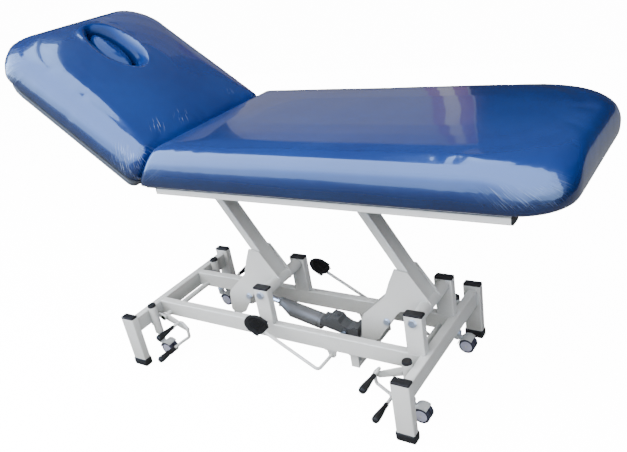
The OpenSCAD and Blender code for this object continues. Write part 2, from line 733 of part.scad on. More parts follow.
// Side outline of the cast block, from the tail pin: along and above, as shares of its length
block_shares = [
  [0.08, -0.060], [0.17, -0.072], [1.00, -0.072], [1.00, 0.081], [0.90, 0.090], [0.81, 0.215],
  [0.61, 0.221], [0.55, 0.150], [0.39, 0.107], [0.30, 0.118], [0.255, 0.198], [0.16, 0.186],
  [0.10, 0.120], [0.00, 0.088]
];
block_half = 26;
tail_d = 30;
tail_half = 13;
tail_pin_d = 12;
valve_d = 14;
valve_at = 0.42;
valve_len = 52;
module pump_block() color(pump_grey * 0.8) along_ram() difference() {
  union() {
    intersection() {
      rotate([90, 0, 0]) linear_extrude(2 * block_half, center = true)
        polygon([for (s = block_shares) [s[1] * block_len, s[0] * block_len]]);
      // the block narrows to the tail between the two lugs
      union() {
        translate([-tank_d, -tail_half, -tail_d]) cube([2 * tank_d, 2 * tail_half, 2 * tail_d]);
        translate([-tank_d, -block_half, tail_d * 0.8])
          cube([2 * tank_d, 2 * block_half, block_len]);
      }
    }
    across(tail_d, tail_half);
    // hub of the hand release on top, and its bleed screw
    translate([block_len * 0.2, 0, block_len * 0.71]) rotate([0, 90, 0]) {
      cylinder(d = valve_d * 1.6, h = plate);
      hex_prism(valve_d, plate * 1.6);
    }
    // seat of the pump plunger on the near side
    translate([0, -block_half, block_len * valve_at]) rotate([90, 0, 0])
      cylinder(d = valve_d * 1.7, h = plate);
  }
  across(tail_pin_d + 2 * fit, tail_half + over);
  translate([0, -block_half - plate, block_len * valve_at]) rotate([-90, 0, 0])
    cylinder(d = valve_d + 2 * fit, h = 2 * plate);
}
// Plunger with its spring collars, standing out of the near side of the block
module pump_plunger() color(bright) along_ram()
  translate([0, -block_half + plate - play, block_len * valve_at]) rotate([90, 0, 0])
    rotate_extrude() polygon([
      [0, 0], [valve_d / 2, 0], [valve_d / 2, plate * 2.2], [valve_d * 0.42, plate * 2.2],
      [valve_d * 0.42, plate * 2.8], [valve_d * 0.62, plate * 2.8], [valve_d * 0.62, plate * 3.4],
      [valve_d * 0.42, plate * 3.4], [valve_d * 0.42, plate * 4], [valve_d * 0.7, plate * 4],
      [valve_d * 0.7, plate * 4.6], [valve_d * 0.3, plate * 5.2], [0, plate * 5.2]]);
eye_half = 11;
cross_d = 20;
cross_half = arm_w / 2 - play;
module ram_rod() color(bright) along_ram() difference() {
  union() {
    translate([0, 0, ram_mouth - rod_hidden])
      cylinder(d = ram_rod_d, h = ram_len - ram_mouth + rod_hidden);
    translate([0, 0, ram_len]) across(cross_d * 1.6, eye_half);
  }
  translate([0, 0, ram_len]) across(cross_d + 2 * fit, eye_half + over);
}
module ram_crosshead() color(bright) along_ram() translate([0, 0, ram_len]) difference() {
  across(cross_d, cross_half);
  across(crank_bolt_d, cross_half + over);
}

/* Carrier of the ram's tail, hung below the rails */
mount_x = 302;
mount_z = 91;
mount_w = 30;
lug_in = tail_half + play;
lug_r = 15;
hanger_in = rail_y - plate / 2;
module pump_mount() color(steel_white) place() {
  translate([mount_x, 0, mount_z]) tube_along_y(hanger_in + weld, mount_w, top_tube_h);
  both_sides() {
    translate([mount_x - mount_w / 2, hanger_in, mount_z - top_tube_h / 2])
      cube([mount_w, plate, rail_low - mount_z + top_tube_h / 2]);
    translate([mount_x - mount_w / 2, hanger_in - plate, rail_low - plate])
      cube([mount_w, 3 * plate, plate]);
    difference() {
      translate([tail_x, lug_in + plate, tail_z]) rotate([90, 0, 0]) linear_extrude(plate) {
        circle(r = lug_r);
        polygon([[-lug_r, 0], [lug_r, 0],
          [mount_x + mount_w / 2 - tail_x, mount_z + top_tube_h / 2 - tail_z - weld],
          [mount_x - mount_w / 2 - tail_x, mount_z + top_tube_h / 2 - tail_z - weld]]);
      }
      translate([tail_x, 0, tail_z]) across(tail_pin_d + 2 * fit, lug_in + plate + over);
    }
  }
}
module tail_pin() color(bright) place() translate([tail_x, 0, tail_z]) {
  across(tail_pin_d, lug_in + plate + play);
  both_sides() translate([0, lug_in + plate, 0]) rotate([-90, 0, 0])
    hex_prism(tail_pin_d * 1.5, plate);
}

/* Foot pedals */
hanger_r = 14;
module pedal_hangers() color(steel_white) place() both_sides() difference() {
  union() {
    translate([pedal_x, rail_y + plate / 2, pedal_z]) rotate([90, 0, 0]) linear_extrude(plate) {
      circle(r = hanger_r);
      polygon([[-hanger_r, 0], [hanger_r, 0], [hanger_r * 1.5, rail_low - pedal_z],
        [-hanger_r * 1.5, rail_low - pedal_z]]);
    }
    translate([pedal_x - hanger_r * 1.5, rail_y - plate * 2, rail_low - plate / 2])
      cube([hanger_r * 3, plate * 4, plate / 2]);
  }
  translate([pedal_x, rail_y, pedal_z]) across(pedal_rod_d + 2 * fit, plate + over);
}
pedal_slope = atan2(pedal_rise, pedal_run);
pedal_reach = norm([pedal_run, pedal_rise]);
// How far the rod runs inside a pad
pad_grip = 34;
pedal_end = [pedal_x - (pedal_reach + pad_grip) * cos(pedal_slope),
  pedal_z + (pedal_reach + pad_grip) * sin(pedal_slope)];
pedal_shaft_half = rail_y + 4 * plate;
module pedal_bar() color(steel_white) place() {
  translate([pedal_x, 0, pedal_z]) across(pedal_rod_d, pedal_shaft_half);
  both_sides() bent_rod([[pedal_x, pedal_shaft_half - weld, pedal_z],
    [pedal_x, pedal_y, pedal_z], [pedal_end[0], pedal_y, pedal_end[1]]],
    pedal_rod_d - rod_step, rod_bend);
}
pad_bevel = 4;
module pad_outline(inset) {
  r = pad_w / 2 - inset;
  translate([pad_len - pad_w / 2, 0]) circle(r = r, $fn = 32);
  translate([inset, -r]) square([pad_len - pad_w / 2 - inset, 2 * r]);
}
module pedal_pad() difference() {
  hull() {
    translate([0, 0, -pad_t / 2]) linear_extrude(pad_t) pad_outline(pad_bevel);
    translate([0, 0, -pad_t / 2 + pad_bevel]) linear_extrude(pad_t - 2 * pad_bevel)
      pad_outline(0);
  }
  translate([-over, 0, 0]) rotate([0, 90, 0])
    cylinder(d = pedal_rod_d + 2 * fit, h = pad_grip + over + play);
  // grooves of the tread
  for (k = [1:4]) translate([pad_len * k / 5, 0, pad_t / 2])
    cube([pad_bevel / 2, pad_w * 0.6, pad_bevel / 2], center = true);
}
module pedal_pads() color(plug_black) place() both_sides()
  translate([pedal_x - pedal_run, pedal_y, pedal_z + pedal_rise])
    rotate([0, pedal_slope, 0]) mirror([1, 0, 0]) pedal_pad();

/* Castor lift: a cross shaft at each end, with a bent lever and a crank at each side */
lever_y = 165;
lever_plate_y = lever_y - lever_rod_d / 2 - plate + weld * 2;
grip_neck_gap = 43;
grip_out = grip_len + lever_y + grip_neck_gap;
crank_rise = 25;
cheek_y = lever_y;
cheek_t = 7;
pin_in_stem = 4;
pin_out = stem_y - stem_d / 2 + pin_in_stem;
// Bends of the lever rod about its shaft, as shares of the lever's reach towards the middle
lever_reach = 110;
lever_shares = [[-0.77, -0.02], [-1.00, -0.27], [-0.98, -0.64], [-0.50, -0.97]];
upper_grip = lever_shares[0] * lever_reach;
lower_grip = lever_shares[3] * lever_reach;
// Shares of the plate that carries the rod
lever_plate_shares = [[0.02, 0.13], [-0.74, 0.05], [-1.00, -0.24], [-0.97, -0.50], [-0.05, -0.13]];
hub_d = 32;
crank_at = [throw * cos(crank_rise), throw * sin(crank_rise)];
// Drawn for the foot end; the head end is its mirror image
module lift_bar() translate([lift_bar_x, 0, lift_bar_z]) {
  across(lift_bar_d, cheek_y + cheek_t);
  both_sides() {
    translate([0, lever_plate_y + plate, 0]) rotate([90, 0, 0]) linear_extrude(plate) {
      circle(d = hub_d);
      polygon([for (s = lever_plate_shares) s * lever_reach]);
    }
    bent_rod(concat(
      [[upper_grip[0], grip_out - plate, upper_grip[1]]],
      [for (s = lever_shares) [s[0] * lever_reach, lever_y, s[1] * lever_reach]],
      [[lower_grip[0], grip_out - plate, lower_grip[1]]]), lever_rod_d - rod_step, rod_bend);
    translate([0, cheek_y, 0]) rotate([-90, 0, 0]) hull() {
      cylinder(d = lift_bar_d + plate, h = cheek_t, $fn = 32);
      translate([crank_at[0], -crank_at[1], 0])
        cylinder(d = crank_pin_d * 2, h = cheek_t, $fn = 32);
    }
    translate([crank_at[0], cheek_y, crank_at[1]]) rotate([-90, 0, 0])
      cylinder(d = crank_pin_d, h = pin_out - cheek_y);
  }
}
module foot_lift_bar() color(steel_white) place() lift_bar();
module head_lift_bar() color(steel_white) place() mirror([1, 0, 0]) lift_bar();

module lever_grip() rotate([-90, 0, 0]) difference() {
  rotate_extrude() polygon([
    [0, 0], [grip_d * 0.31, 0], [grip_d * 0.33, grip_len * 0.04], [grip_d * 0.36, grip_len * 0.3],
    [grip_d * 0.42, grip_len * 0.55], [grip_d * 0.49, grip_len * 0.8],
    [grip_d * 0.5, grip_len * 0.9], [grip_d * 0.46, grip_len * 0.96],
    [grip_d * 0.34, grip_len], [0, grip_len]]);
  translate([0, 0, -over]) cylinder(d = lever_rod_d + 2 * fit, h = over + grip_len - plate + play);
}
module lift_grips() both_sides() for (g = [upper_grip, lower_grip])
  translate([lift_bar_x + g[0], grip_out - grip_len, lift_bar_z + g[1]]) lever_grip();
module foot_lift_grips() color(plug_black) place() lift_grips();
module head_lift_grips() color(plug_black) place() mirror([1, 0, 0]) lift_grips();

/* Castors */
flange_z = 69;
flange_h = 4;
flange_d = 28;
swivel_pin_d = 10;
fork_boss_d = 26;
fork_boss_low = 47;
stem_from_top = 24;
stem_top = sleeve_top - stem_from_top;
// Play of the crank pin in the slot of a stem
slot_play = 0.6;
module stem() {
  difference() {
    union() {
      translate([0, 0, flange_z + play]) cylinder(d = stem_d, h = stem_top - flange_z - play);
      translate([0, 0, flange_z + play]) cylinder(d = flange_d, h = flange_h);
      translate([0, 0, fork_boss_low + plate + play])
        cylinder(d = swivel_pin_d, h = flange_z - fork_boss_low - plate);
    }
    translate([0, -stem_d / 2, lift_bar_z + crank_at[1]])
      cube([stem_d, 2 * (pin_out - stem_y + stem_d / 2 + 1.5 * play),
        crank_pin_d + 2 * slot_play], center = true);
  }
}
// Swivel frame of a twin-wheel castor, with its hood and axle
axle_d = 8;
web_half = 3;
wheel_gap = 0.8;
hood_t = 2.4;
hood_gap = 1.6;
hood_r = wheel_d / 2 + hood_gap + hood_t;
fork_half = web_half + wheel_gap + wheel_w + plate / 3;
module fork() {
  difference() {
    union() {
      translate([0, 0, fork_boss_low]) cylinder(d = fork_boss_d, h = flange_z - fork_boss_low);
      // hood over the wheels, open below and behind
      difference() {
        translate([castor_trail, 0, axle_z]) across(2 * hood_r, fork_half);
        translate([castor_trail, 0, axle_z]) across(2 * (hood_r - hood_t), fork_half + over);
        translate([castor_trail - 2 * hood_r, -wheel_d, axle_z - 2 * hood_r + plate])
          cube([4 * hood_r, 2 * wheel_d, 2 * hood_r]);
        translate([castor_trail + hood_r * 0.62, -wheel_d, axle_z - hood_r])
          cube([hood_r, 2 * wheel_d, 2 * hood_r]);
      }
      // web between the wheels
      translate([0, web_half, 0]) rotate([90, 0, 0]) linear_extrude(2 * web_half) {
        translate([castor_trail, axle_z]) circle(d = axle_d * 2.6);
        polygon([[0, fork_boss_low], [0, flange_z - plate / 2], [castor_trail * 0.6, axle_z + hood_r - plate / 2],
          [castor_trail, axle_z + hood_r - hood_t / 2], [castor_trail + axle_d * 1.3, axle_z],
          [castor_trail, axle_z - axle_d * 1.3], [castor_trail - axle_d, axle_z - axle_d]]);
      }
      translate([castor_trail, 0, axle_z]) across(axle_d, fork_half);
    }
    translate([0, 0, fork_boss_low + plate])
      cylinder(d = swivel_pin_d + 2 * fit, h = flange_z);
  }
}
// A wheel lies along +Y, with its dished outer face away from the web
module wheel() rotate([-90, 0, 0]) difference() {
  rotate_extrude() polygon([
    [0, 0], [wheel_d * 0.44, 0], [wheel_d * 0.49, wheel_w * 0.12], [wheel_d * 0.5, wheel_w * 0.3],
    [wheel_d * 0.5, wheel_w * 0.7], [wheel_d * 0.49, wheel_w * 0.88], [wheel_d * 0.46, wheel_w],
    [wheel_d * 0.42, wheel_w], [wheel_d * 0.40, wheel_w * 0.93], [wheel_d * 0.2, wheel_w],
    [0, wheel_w]]);
  translate([0, 0, -over]) cylinder(d = axle_d + 2 * fit, h = wheel_w + 2 * over);
}
// end is -1 at the head and 1 at the foot; side is -1 on the right and 1 on the left
module at_castor(end, side) place() translate([end * stem_x, side * stem_y, 0]) children();
module place_stem(end, side) color(bright) at_castor(end, side)
  if (side < 0) mirror([0, 1, 0]) stem(); else stem();
module place_fork(end, side) color(hood_grey) at_castor(end, side) fork();
module place_wheel(end, side, away) color(wheel_grey) at_castor(end, side)
  translate([castor_trail, 0, axle_z])
    if (side * away < 0) mirror([0, 1, 0]) translate([0, web_half + wheel_gap, 0]) wheel();
    else translate([0, web_half + wheel_gap, 0]) wheel();

base_frame();
post_plugs();
rubber_feet();
sleeve_caps();
pivot_pins();
pivot_bushes();
pump_mount();
tail_pin();
pedal_hangers();
head_arm();
head_arm_bolts();
foot_arm();
foot_arm_bolts();
top_frame();
rail_plugs();
top_pins();
main_board();
main_cushion();
frame_leaves();
head_frame();
head_board();
head_cushion();
head_leaves();
hinge_bolts();
slot_plug();
oil_tank();
pump_block();
pump_plunger();
ram_rod();
ram_crosshead();
pedal_bar();
pedal_pads();
head_lift_bar();
head_lift_grips();
foot_lift_bar();
foot_lift_grips();
place_stem(-1, 1);  // stem_head_left
place_stem(-1, -1);  // stem_head_right
place_stem(1, 1);  // stem_foot_left
place_stem(1, -1);  // stem_foot_right
place_fork(-1, 1);  // fork_head_left
place_fork(-1, -1);  // fork_head_right
place_fork(1, 1);  // fork_foot_left
place_fork(1, -1);  // fork_foot_right
place_wheel(-1, 1, -1);  // wheel_head_left_in
place_wheel(-1, 1, 1);  // wheel_head_left_out
place_wheel(-1, -1, -1);  // wheel_head_right_in
place_wheel(-1, -1, 1);  // wheel_head_right_out
place_wheel(1, 1, -1);  // wheel_foot_left_in
place_wheel(1, 1, 1);  // wheel_foot_left_out
place_wheel(1, -1, -1);  // wheel_foot_right_in
place_wheel(1, -1, 1);  // wheel_foot_right_out
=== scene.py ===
import json
import math

import bmesh
import bpy
from mathutils import Matrix, Vector, noise


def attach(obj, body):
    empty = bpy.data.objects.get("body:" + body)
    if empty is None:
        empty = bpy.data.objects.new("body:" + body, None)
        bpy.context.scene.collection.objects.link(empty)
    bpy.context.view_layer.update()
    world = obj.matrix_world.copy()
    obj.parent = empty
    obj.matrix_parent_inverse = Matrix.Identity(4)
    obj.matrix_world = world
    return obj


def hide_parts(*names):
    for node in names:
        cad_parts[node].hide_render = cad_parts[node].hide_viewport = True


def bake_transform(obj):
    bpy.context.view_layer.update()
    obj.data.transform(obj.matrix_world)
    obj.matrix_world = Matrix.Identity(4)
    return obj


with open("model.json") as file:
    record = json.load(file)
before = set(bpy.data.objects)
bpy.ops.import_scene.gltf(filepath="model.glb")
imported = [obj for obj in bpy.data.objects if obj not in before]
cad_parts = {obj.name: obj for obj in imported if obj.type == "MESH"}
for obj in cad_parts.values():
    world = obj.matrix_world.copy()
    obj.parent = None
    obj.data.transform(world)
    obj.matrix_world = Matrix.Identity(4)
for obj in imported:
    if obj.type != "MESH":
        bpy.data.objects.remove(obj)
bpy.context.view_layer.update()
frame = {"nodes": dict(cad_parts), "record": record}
nodes = frame["nodes"]
bpy.ops.object.select_all(action="DESELECT")
print("frame loaded:", len(nodes), "nodes")


# camera and light
shot = {
    "place": (1.20933, -1.61276, 1.41222),
    "right": (0.82421, 0.53873, -0.17447),
    "up": (-0.12364, 0.47187, 0.87295),
    "back": (0.55261, -0.69793, 0.45553),
    "lens": 38.477,
    "shift": (0.02879, 0.06515),
}


def intoScene(piece):
    bpy.context.scene.collection.objects.link(piece)


def placeCamera():
    data = bpy.data.cameras.new("studioCamera")
    data.sensor_width = 36
    data.lens = shot["lens"]
    data.shift_x, data.shift_y = shot["shift"]
    camera = bpy.data.objects.new("studioCamera", data)
    intoScene(camera)
    turn = Matrix((shot["right"], shot["up"], shot["back"])).transposed().to_4x4()
    camera.matrix_world = Matrix.Translation(shot["place"]) @ turn
    bpy.context.scene.camera = camera


softboxes = {
    # name: middle, looks at, width, height, watts, colour
    "skyPanel": ((-1.1, -4.2, 3.3), (-1.1, -4.2, 0.0), 10.0, 7.4, 1230, (0.95, 0.97, 1.0)),
    "lowBack": ((0.0, 4.2, 0.75), (0.0, 0.0, 0.75), 7.0, 1.5, 34, (1.0, 0.99, 0.97)),
}
studio = {
    "nearAir": 0.36, "farAir": 0.04, "highAir": 0.30,
    "floorSize": 400, "floorGlow": 14.0, "floorTone": 0.90, "bounceTone": 0.28,
}
skyBlue = (0.50, 0.74, 1.22)
# the sky overhead ends where the pale bands of the two cushions do; shares of its reach
skyHeight, skyReach = 40.0, 39
skyEdge = [
    (-8.3, -3.2), (2.6, -3.2), (2.6, 0.02), (1.65, 0.06), (1.3, 0.12), (0.9, 0.16), (0.43, 0.13),
    (0.13, 0.10), (0.10, 0.24), (0.0, 0.29), (-0.19, 0.48), (-0.345, 0.61), (-0.385, 0.63),
    (-0.395, -0.18), (-0.415, -0.21), (-0.475, -0.11), (-0.57, -0.07), (-0.696, 0.05),
    (-0.793, 0.03), (-0.893, 0.0), (-1.05, -0.15), (-8.3, -0.35),
]
# boards that only the gloss sees: corners, strength at the low end and at the high end, colour;
# the strength changes along Y on a board that lies flat, and along Z on one that stands
boards = {
    "openSky": ([(-60, -26, -1.5), (20, -26, -9.0), (20, -26, 8.6), (-60, -26, 8.6)],
                4.6, 9.0, skyBlue),
    "sideSky": ([(20, -26, -9.0), (20, 0.9, -7.7), (20, 0.9, 8.6), (20, -26, 8.6)],
                4.6, 9.0, skyBlue),
    "overSky": ([(skyReach * x, skyReach * y, skyHeight) for x, y in skyEdge], 8.0, 8.0, skyBlue),
    "endSky": ([(-20, -26, -1.0), (-20, 1.5, -1.0), (-20, 1.5, 3.4), (-20, -26, 3.4)],
               4.6, 8.0, skyBlue),
    "ground": ([(-20.7, -9.26, 0.0), (1.91, -2.42, 0.0), (2.32, 1.19, 0.0), (3.6, 12.0, 0.0),
                (-20.0, 12.0, 0.0)], 0.50, 0.02, (1.0, 0.97, 0.95)),
    "greyWall": ([(-5.10, 5.2, 1.4), (-1.36, 5.2, 1.4), (-1.36, 5.2, 6.0), (-5.10, 5.2, 6.0)],
                 0.31, 0.35, (0.98, 0.92, 1.0)),
    "gateShade": ([(-1.84, 5.17, 1.4), (-1.38, 5.17, 1.4), (-1.38, 5.17, 4.6), (-1.84, 5.17, 4.6)],
                  0.30, 0.24, (1.0, 0.50, 0.80)),
    "gatePost": ([(-1.70, 5.15, 1.4), (-1.53, 5.15, 1.4), (-1.53, 5.15, 4.3), (-1.70, 5.15, 4.3)],
                 0.62, 0.5, (1.0, 0.95, 0.88)),
}


def lightStudio():
    for name, (place, aim, width, height, watts, colour) in softboxes.items():
        data = bpy.data.lights.new(name, "AREA")
        data.shape = "RECTANGLE"
        data.size, data.size_y = width, height
        data.energy = watts
        data.color = colour
        lamp = bpy.data.objects.new(name, data)
        intoScene(lamp)
        lamp.location = place
        lamp.rotation_euler = (Vector(aim) - Vector(place)).to_track_quat("-Z", "Y").to_euler()
        # what the gloss sees is hung up apart from the lamps
        lamp.visible_glossy = False
    world = bpy.data.worlds.new("studioAir")
    bpy.context.scene.world = world
    world.use_nodes = True
    tree = world.node_tree
    air = tree.nodes["Background"]
    air.inputs["Color"].default_value = (0.92, 0.95, 1.0, 1)
    # the studio is lighter on the side of the softboxes and overhead
    way = addNode(tree, "ShaderNodeTexCoord")
    apart = addNode(tree, "ShaderNodeSeparateXYZ")
    tree.links.new(way.outputs["Generated"], apart.inputs["Vector"])
    high = mapRange(tree, apart.outputs["Z"], 0.25, 0.85, studio["farAir"], studio["highAir"])
    level = mapRange(tree, apart.outputs["Y"], -0.9, 0.35, studio["nearAir"], 0.0)
    tree.links.new(high, level.node.inputs["To Max"])
    tree.links.new(level, air.inputs["Strength"])


def hangBoards():
    for name, (corners, low, high, colour) in boards.items():
        board = meshPiece(name, corners, [tuple(range(len(corners)))])
        material, tree, shader = newFinish(name + "Glow", (0, 0, 0), 1.0)
        spot = addNode(tree, "ShaderNodeTexCoord")
        apart = addNode(tree, "ShaderNodeSeparateXYZ")
        tree.links.new(spot.outputs["Object"], apart.inputs["Vector"])
        heights = [corner[2] for corner in corners]
        flat = max(heights) - min(heights) < 0.5
        reach = [corner[1] for corner in corners] if flat else heights
        bottom = min(reach) if flat else max(-1.0, min(reach))
        level = mapRange(tree, apart.outputs["Y" if flat else "Z"], bottom, max(reach), low, high)
        shader.inputs["Emission Color"].default_value = (*colour, 1)
        tree.links.new(level, shader.inputs["Emission Strength"])
        board.data.materials.append(material)
        board.visible_camera = board.visible_diffuse = board.visible_shadow = False


def layFloor():
    # one floor is seen, the other throws light back
    for name, glow, depth in (("studioFloor", studio["floorGlow"], 0.001),
                              ("floorBounce", 0, 0.002)):
        bpy.ops.mesh.primitive_plane_add(size=studio["floorSize"], location=(0, 0, -depth))
        floor = bpy.context.active_object
        floor.name = name
        tone = studio["floorTone"] if glow > 0 else studio["bounceTone"]
        material, tree, shader = newFinish(name + "Paint", (tone, tone, tone), 0.9)
        shader.inputs["Emission Color"].default_value = (1, 1, 1, 1)
        shader.inputs["Emission Strength"].default_value = glow
        floor.data.materials.append(material)
        # both stay out of the couch's own reflections
        floor.visible_glossy = False
        floor.visible_diffuse = glow == 0
        floor.visible_camera = glow > 0
    bpy.ops.object.select_all(action="DESELECT")


# finishes
def newFinish(name, colour, roughness, metallic=0.0):
    material = bpy.data.materials.new(name)
    material.use_nodes = True
    tree = material.node_tree
    shader = tree.nodes["Principled BSDF"]
    shader.inputs["Base Color"].default_value = (*colour, 1)
    shader.inputs["Roughness"].default_value = roughness
    shader.inputs["Metallic"].default_value = metallic
    return material, tree, shader


def addNode(tree, kind, **values):
    node = tree.nodes.new(kind)
    for key, value in values.items():
        if key in node.inputs:
            node.inputs[key].default_value = value
        else:
            setattr(node, key, value)
    return node


def objectNoise(tree, scale, detail=3.0, roughness=0.55, stretch=None):
    spot = addNode(tree, "ShaderNodeTexCoord")
    grain = addNode(tree, "ShaderNodeTexNoise", Scale=scale, Detail=detail, Roughness=roughness)
    if stretch:
        mapping = addNode(tree, "ShaderNodeMapping", Scale=stretch)
        tree.links.new(spot.outputs["Object"], mapping.inputs["Vector"])
        tree.links.new(mapping.outputs["Vector"], grain.inputs["Vector"])
    else:
        tree.links.new(spot.outputs["Object"], grain.inputs["Vector"])
    return grain.outputs["Fac"]


def ramp(tree, source, low, high, lowColour, highColour):
    node = tree.nodes.new("ShaderNodeValToRGB")
    node.color_ramp.elements[0].position = low
    node.color_ramp.elements[1].position = high
    node.color_ramp.elements[0].color = (*lowColour, 1)
    node.color_ramp.elements[1].color = (*highColour, 1)
    tree.links.new(source, node.inputs["Fac"])
    return node.outputs["Color"]


def mapRange(tree, source, fromLow, fromHigh, low, high):
    node = addNode(tree, "ShaderNodeMapRange")
    for key, value in (("From Min", fromLow), ("From Max", fromHigh),
                       ("To Min", low), ("To Max", high)):
        node.inputs[key].default_value = value
    tree.links.new(source, node.inputs["Value"])
    return node.outputs["Result"]


def spread(tree, source, low, high):
    return mapRange(tree, source, 0.0, 1.0, low, high)


def bumpFrom(tree, shader, source, strength, distance, after=None):
    node = addNode(tree, "ShaderNodeBump", Strength=strength, Distance=distance)
    tree.links.new(source, node.inputs["Height"])
    if after is not None:
        tree.links.new(after, node.inputs["Normal"])
    tree.links.new(node.outputs["Normal"], shader.inputs["Normal"])
    return node.outputs["Normal"]


def shade(colour, factor):
    return tuple(min(1.0, c * factor) for c in colour)


def multiply(tree, base, tone):
    node = addNode(tree, "ShaderNodeMix", data_type="RGBA", blend_type="MULTIPLY")
    node.inputs["Factor"].default_value = 1.0
    tree.links.new(base, node.inputs["A"])
    tree.links.new(tone, node.inputs["B"])
    return node.outputs["Result"]


def calculate(tree, operation, one, other):
    node = addNode(tree, "ShaderNodeMath", operation=operation)
    tree.links.new(one, node.inputs[0])
    if isinstance(other, float):
        node.inputs[1].default_value = other
    else:
        tree.links.new(other, node.inputs[1])
    return node.outputs["Value"]


def tintFrom(tree, shader, source, colour, high, dark, light):
    tint = ramp(tree, source, 0.30, high, shade(colour, dark), shade(colour, light))
    tree.links.new(tint, shader.inputs["Base Color"])
    return tint


def roughFrom(tree, shader, source, low, high):
    tree.links.new(spread(tree, source, low, high), shader.inputs["Roughness"])


paint = {
    # noise scales
    "cloud": 7.0, "fine": 420.0, "peel": 260.0,
    "dark": 0.955, "light": 1.02, "peelDepth": 0.0006, "coat": 0.10, "coatRoughness": 0.25,
    # a warm sheen, because the sky boards are blue
    "sheen": (1.0, 0.84, 0.66, 1.0),
    # painted shade: how far it reaches and how much darker it is painted where other parts crowd
    # over it
    "reach": 0.42, "samples": 6, "low": 0.30, "high": 0.74, "tone": (0.52, 0.52, 0.50),
}


def paintedSteel(name, colour, roughness=0.38):
    material, tree, shader = newFinish(name, colour, roughness)
    cloud = objectNoise(tree, paint["cloud"], 4.0)
    coat = tintFrom(tree, shader, cloud, colour, 0.72, paint["dark"], paint["light"])
    # painted shade from nearby parts, multiplied into the base colour
    near = addNode(tree, "ShaderNodeAmbientOcclusion", Distance=paint["reach"])
    near.samples = paint["samples"]
    paintedShade = ramp(tree, near.outputs["AO"], paint["low"], paint["high"], paint["tone"], (1, 1, 1))
    tree.links.new(multiply(tree, coat, paintedShade), shader.inputs["Base Color"])
    fine = objectNoise(tree, paint["fine"], 2.0)
    roughFrom(tree, shader, fine, roughness - 0.07, roughness + 0.08)
    bumpFrom(tree, shader, objectNoise(tree, paint["peel"], 1.5), 0.10, paint["peelDepth"])
    shader.inputs["Coat Weight"].default_value = paint["coat"]
    shader.inputs["Coat Roughness"].default_value = paint["coatRoughness"]
    shader.inputs["Specular Tint"].default_value = paint["sheen"]
    return material


moulded = {
    "cloud": 30.0, "haze": 90.0, "dark": 0.85, "light": 1.2, "specular": 0.22,
    "sheen": (1.0, 0.80, 0.58, 1.0),
}


def plastic(name, colour, roughness, grain=600.0, depth=0.0003):
    material, tree, shader = newFinish(name, colour, roughness)
    cloud = objectNoise(tree, moulded["cloud"], 3.0)
    tintFrom(tree, shader, cloud, colour, 0.7, moulded["dark"], moulded["light"])
    haze = objectNoise(tree, moulded["haze"], 3.0)
    roughFrom(tree, shader, haze, roughness - 0.08, roughness + 0.10)
    bumpFrom(tree, shader, objectNoise(tree, grain, 2.0), 0.35, depth)
    shader.inputs["Specular IOR Level"].default_value = moulded["specular"]
    shader.inputs["Specular Tint"].default_value = moulded["sheen"]
    return material


bare = {"cloud": 25.0, "brush": 300.0, "dark": 0.80, "light": 1.08}


def metal(name, colour, roughness, streak=(1, 1, 1), depth=0.0001):
    material, tree, shader = newFinish(name, colour, roughness, 1.0)
    cloud = objectNoise(tree, bare["cloud"], 4.0)
    tintFrom(tree, shader, cloud, colour, 0.75, bare["dark"], bare["light"])
    brushed = objectNoise(tree, bare["brush"], 3.0, stretch=streak)
    roughFrom(tree, shader, brushed, roughness - 0.06, roughness + 0.12)
    bumpFrom(tree, shader, brushed, 0.15, depth)
    return material


def boardFinish(name, colour):
    material, tree, shader = newFinish(name, colour, 0.62)
    layers = objectNoise(tree, 40.0, 4.0, stretch=(1, 1, 14))
    tintFrom(tree, shader, layers, colour, 0.7, 0.75, 1.25)
    bumpFrom(tree, shader, objectNoise(tree, 500.0, 2.0), 0.3, 0.0003)
    return material


vinyl = {
    "deep": (0.0015, 0.020, 0.135),
    "light": (0.003, 0.034, 0.190),
    "roughness": 0.17,
    # on the tight faces and on the dull ones
    "coat": (0.85, 0.0),
    "sheen": (0.5, 0.16),
    "coatRoughness": 0.035,
    "coatIor": 1.52,
    "grain": 900.0,
    "grainDepth": 0.00012,
    "gather": (230.0, 16.0, 0.0),
    "gatherDepth": 0.0015,
    "footFrom": 0.018,
    "footTo": 0.075,
    # tone of the painted shade at the cushion's foot
    "footTone": (1.0, 0.55, 0.42),
    # colour of the painted highlight on the creases' crests
    "crease": (0.42, 0.52, 0.72),
    "creaseFrom": 0.55,
    "creaseTo": 0.66,
    "creaseShare": 0.85,
    "creasePower": 2.0,
    "hollowTone": 0.52,
}


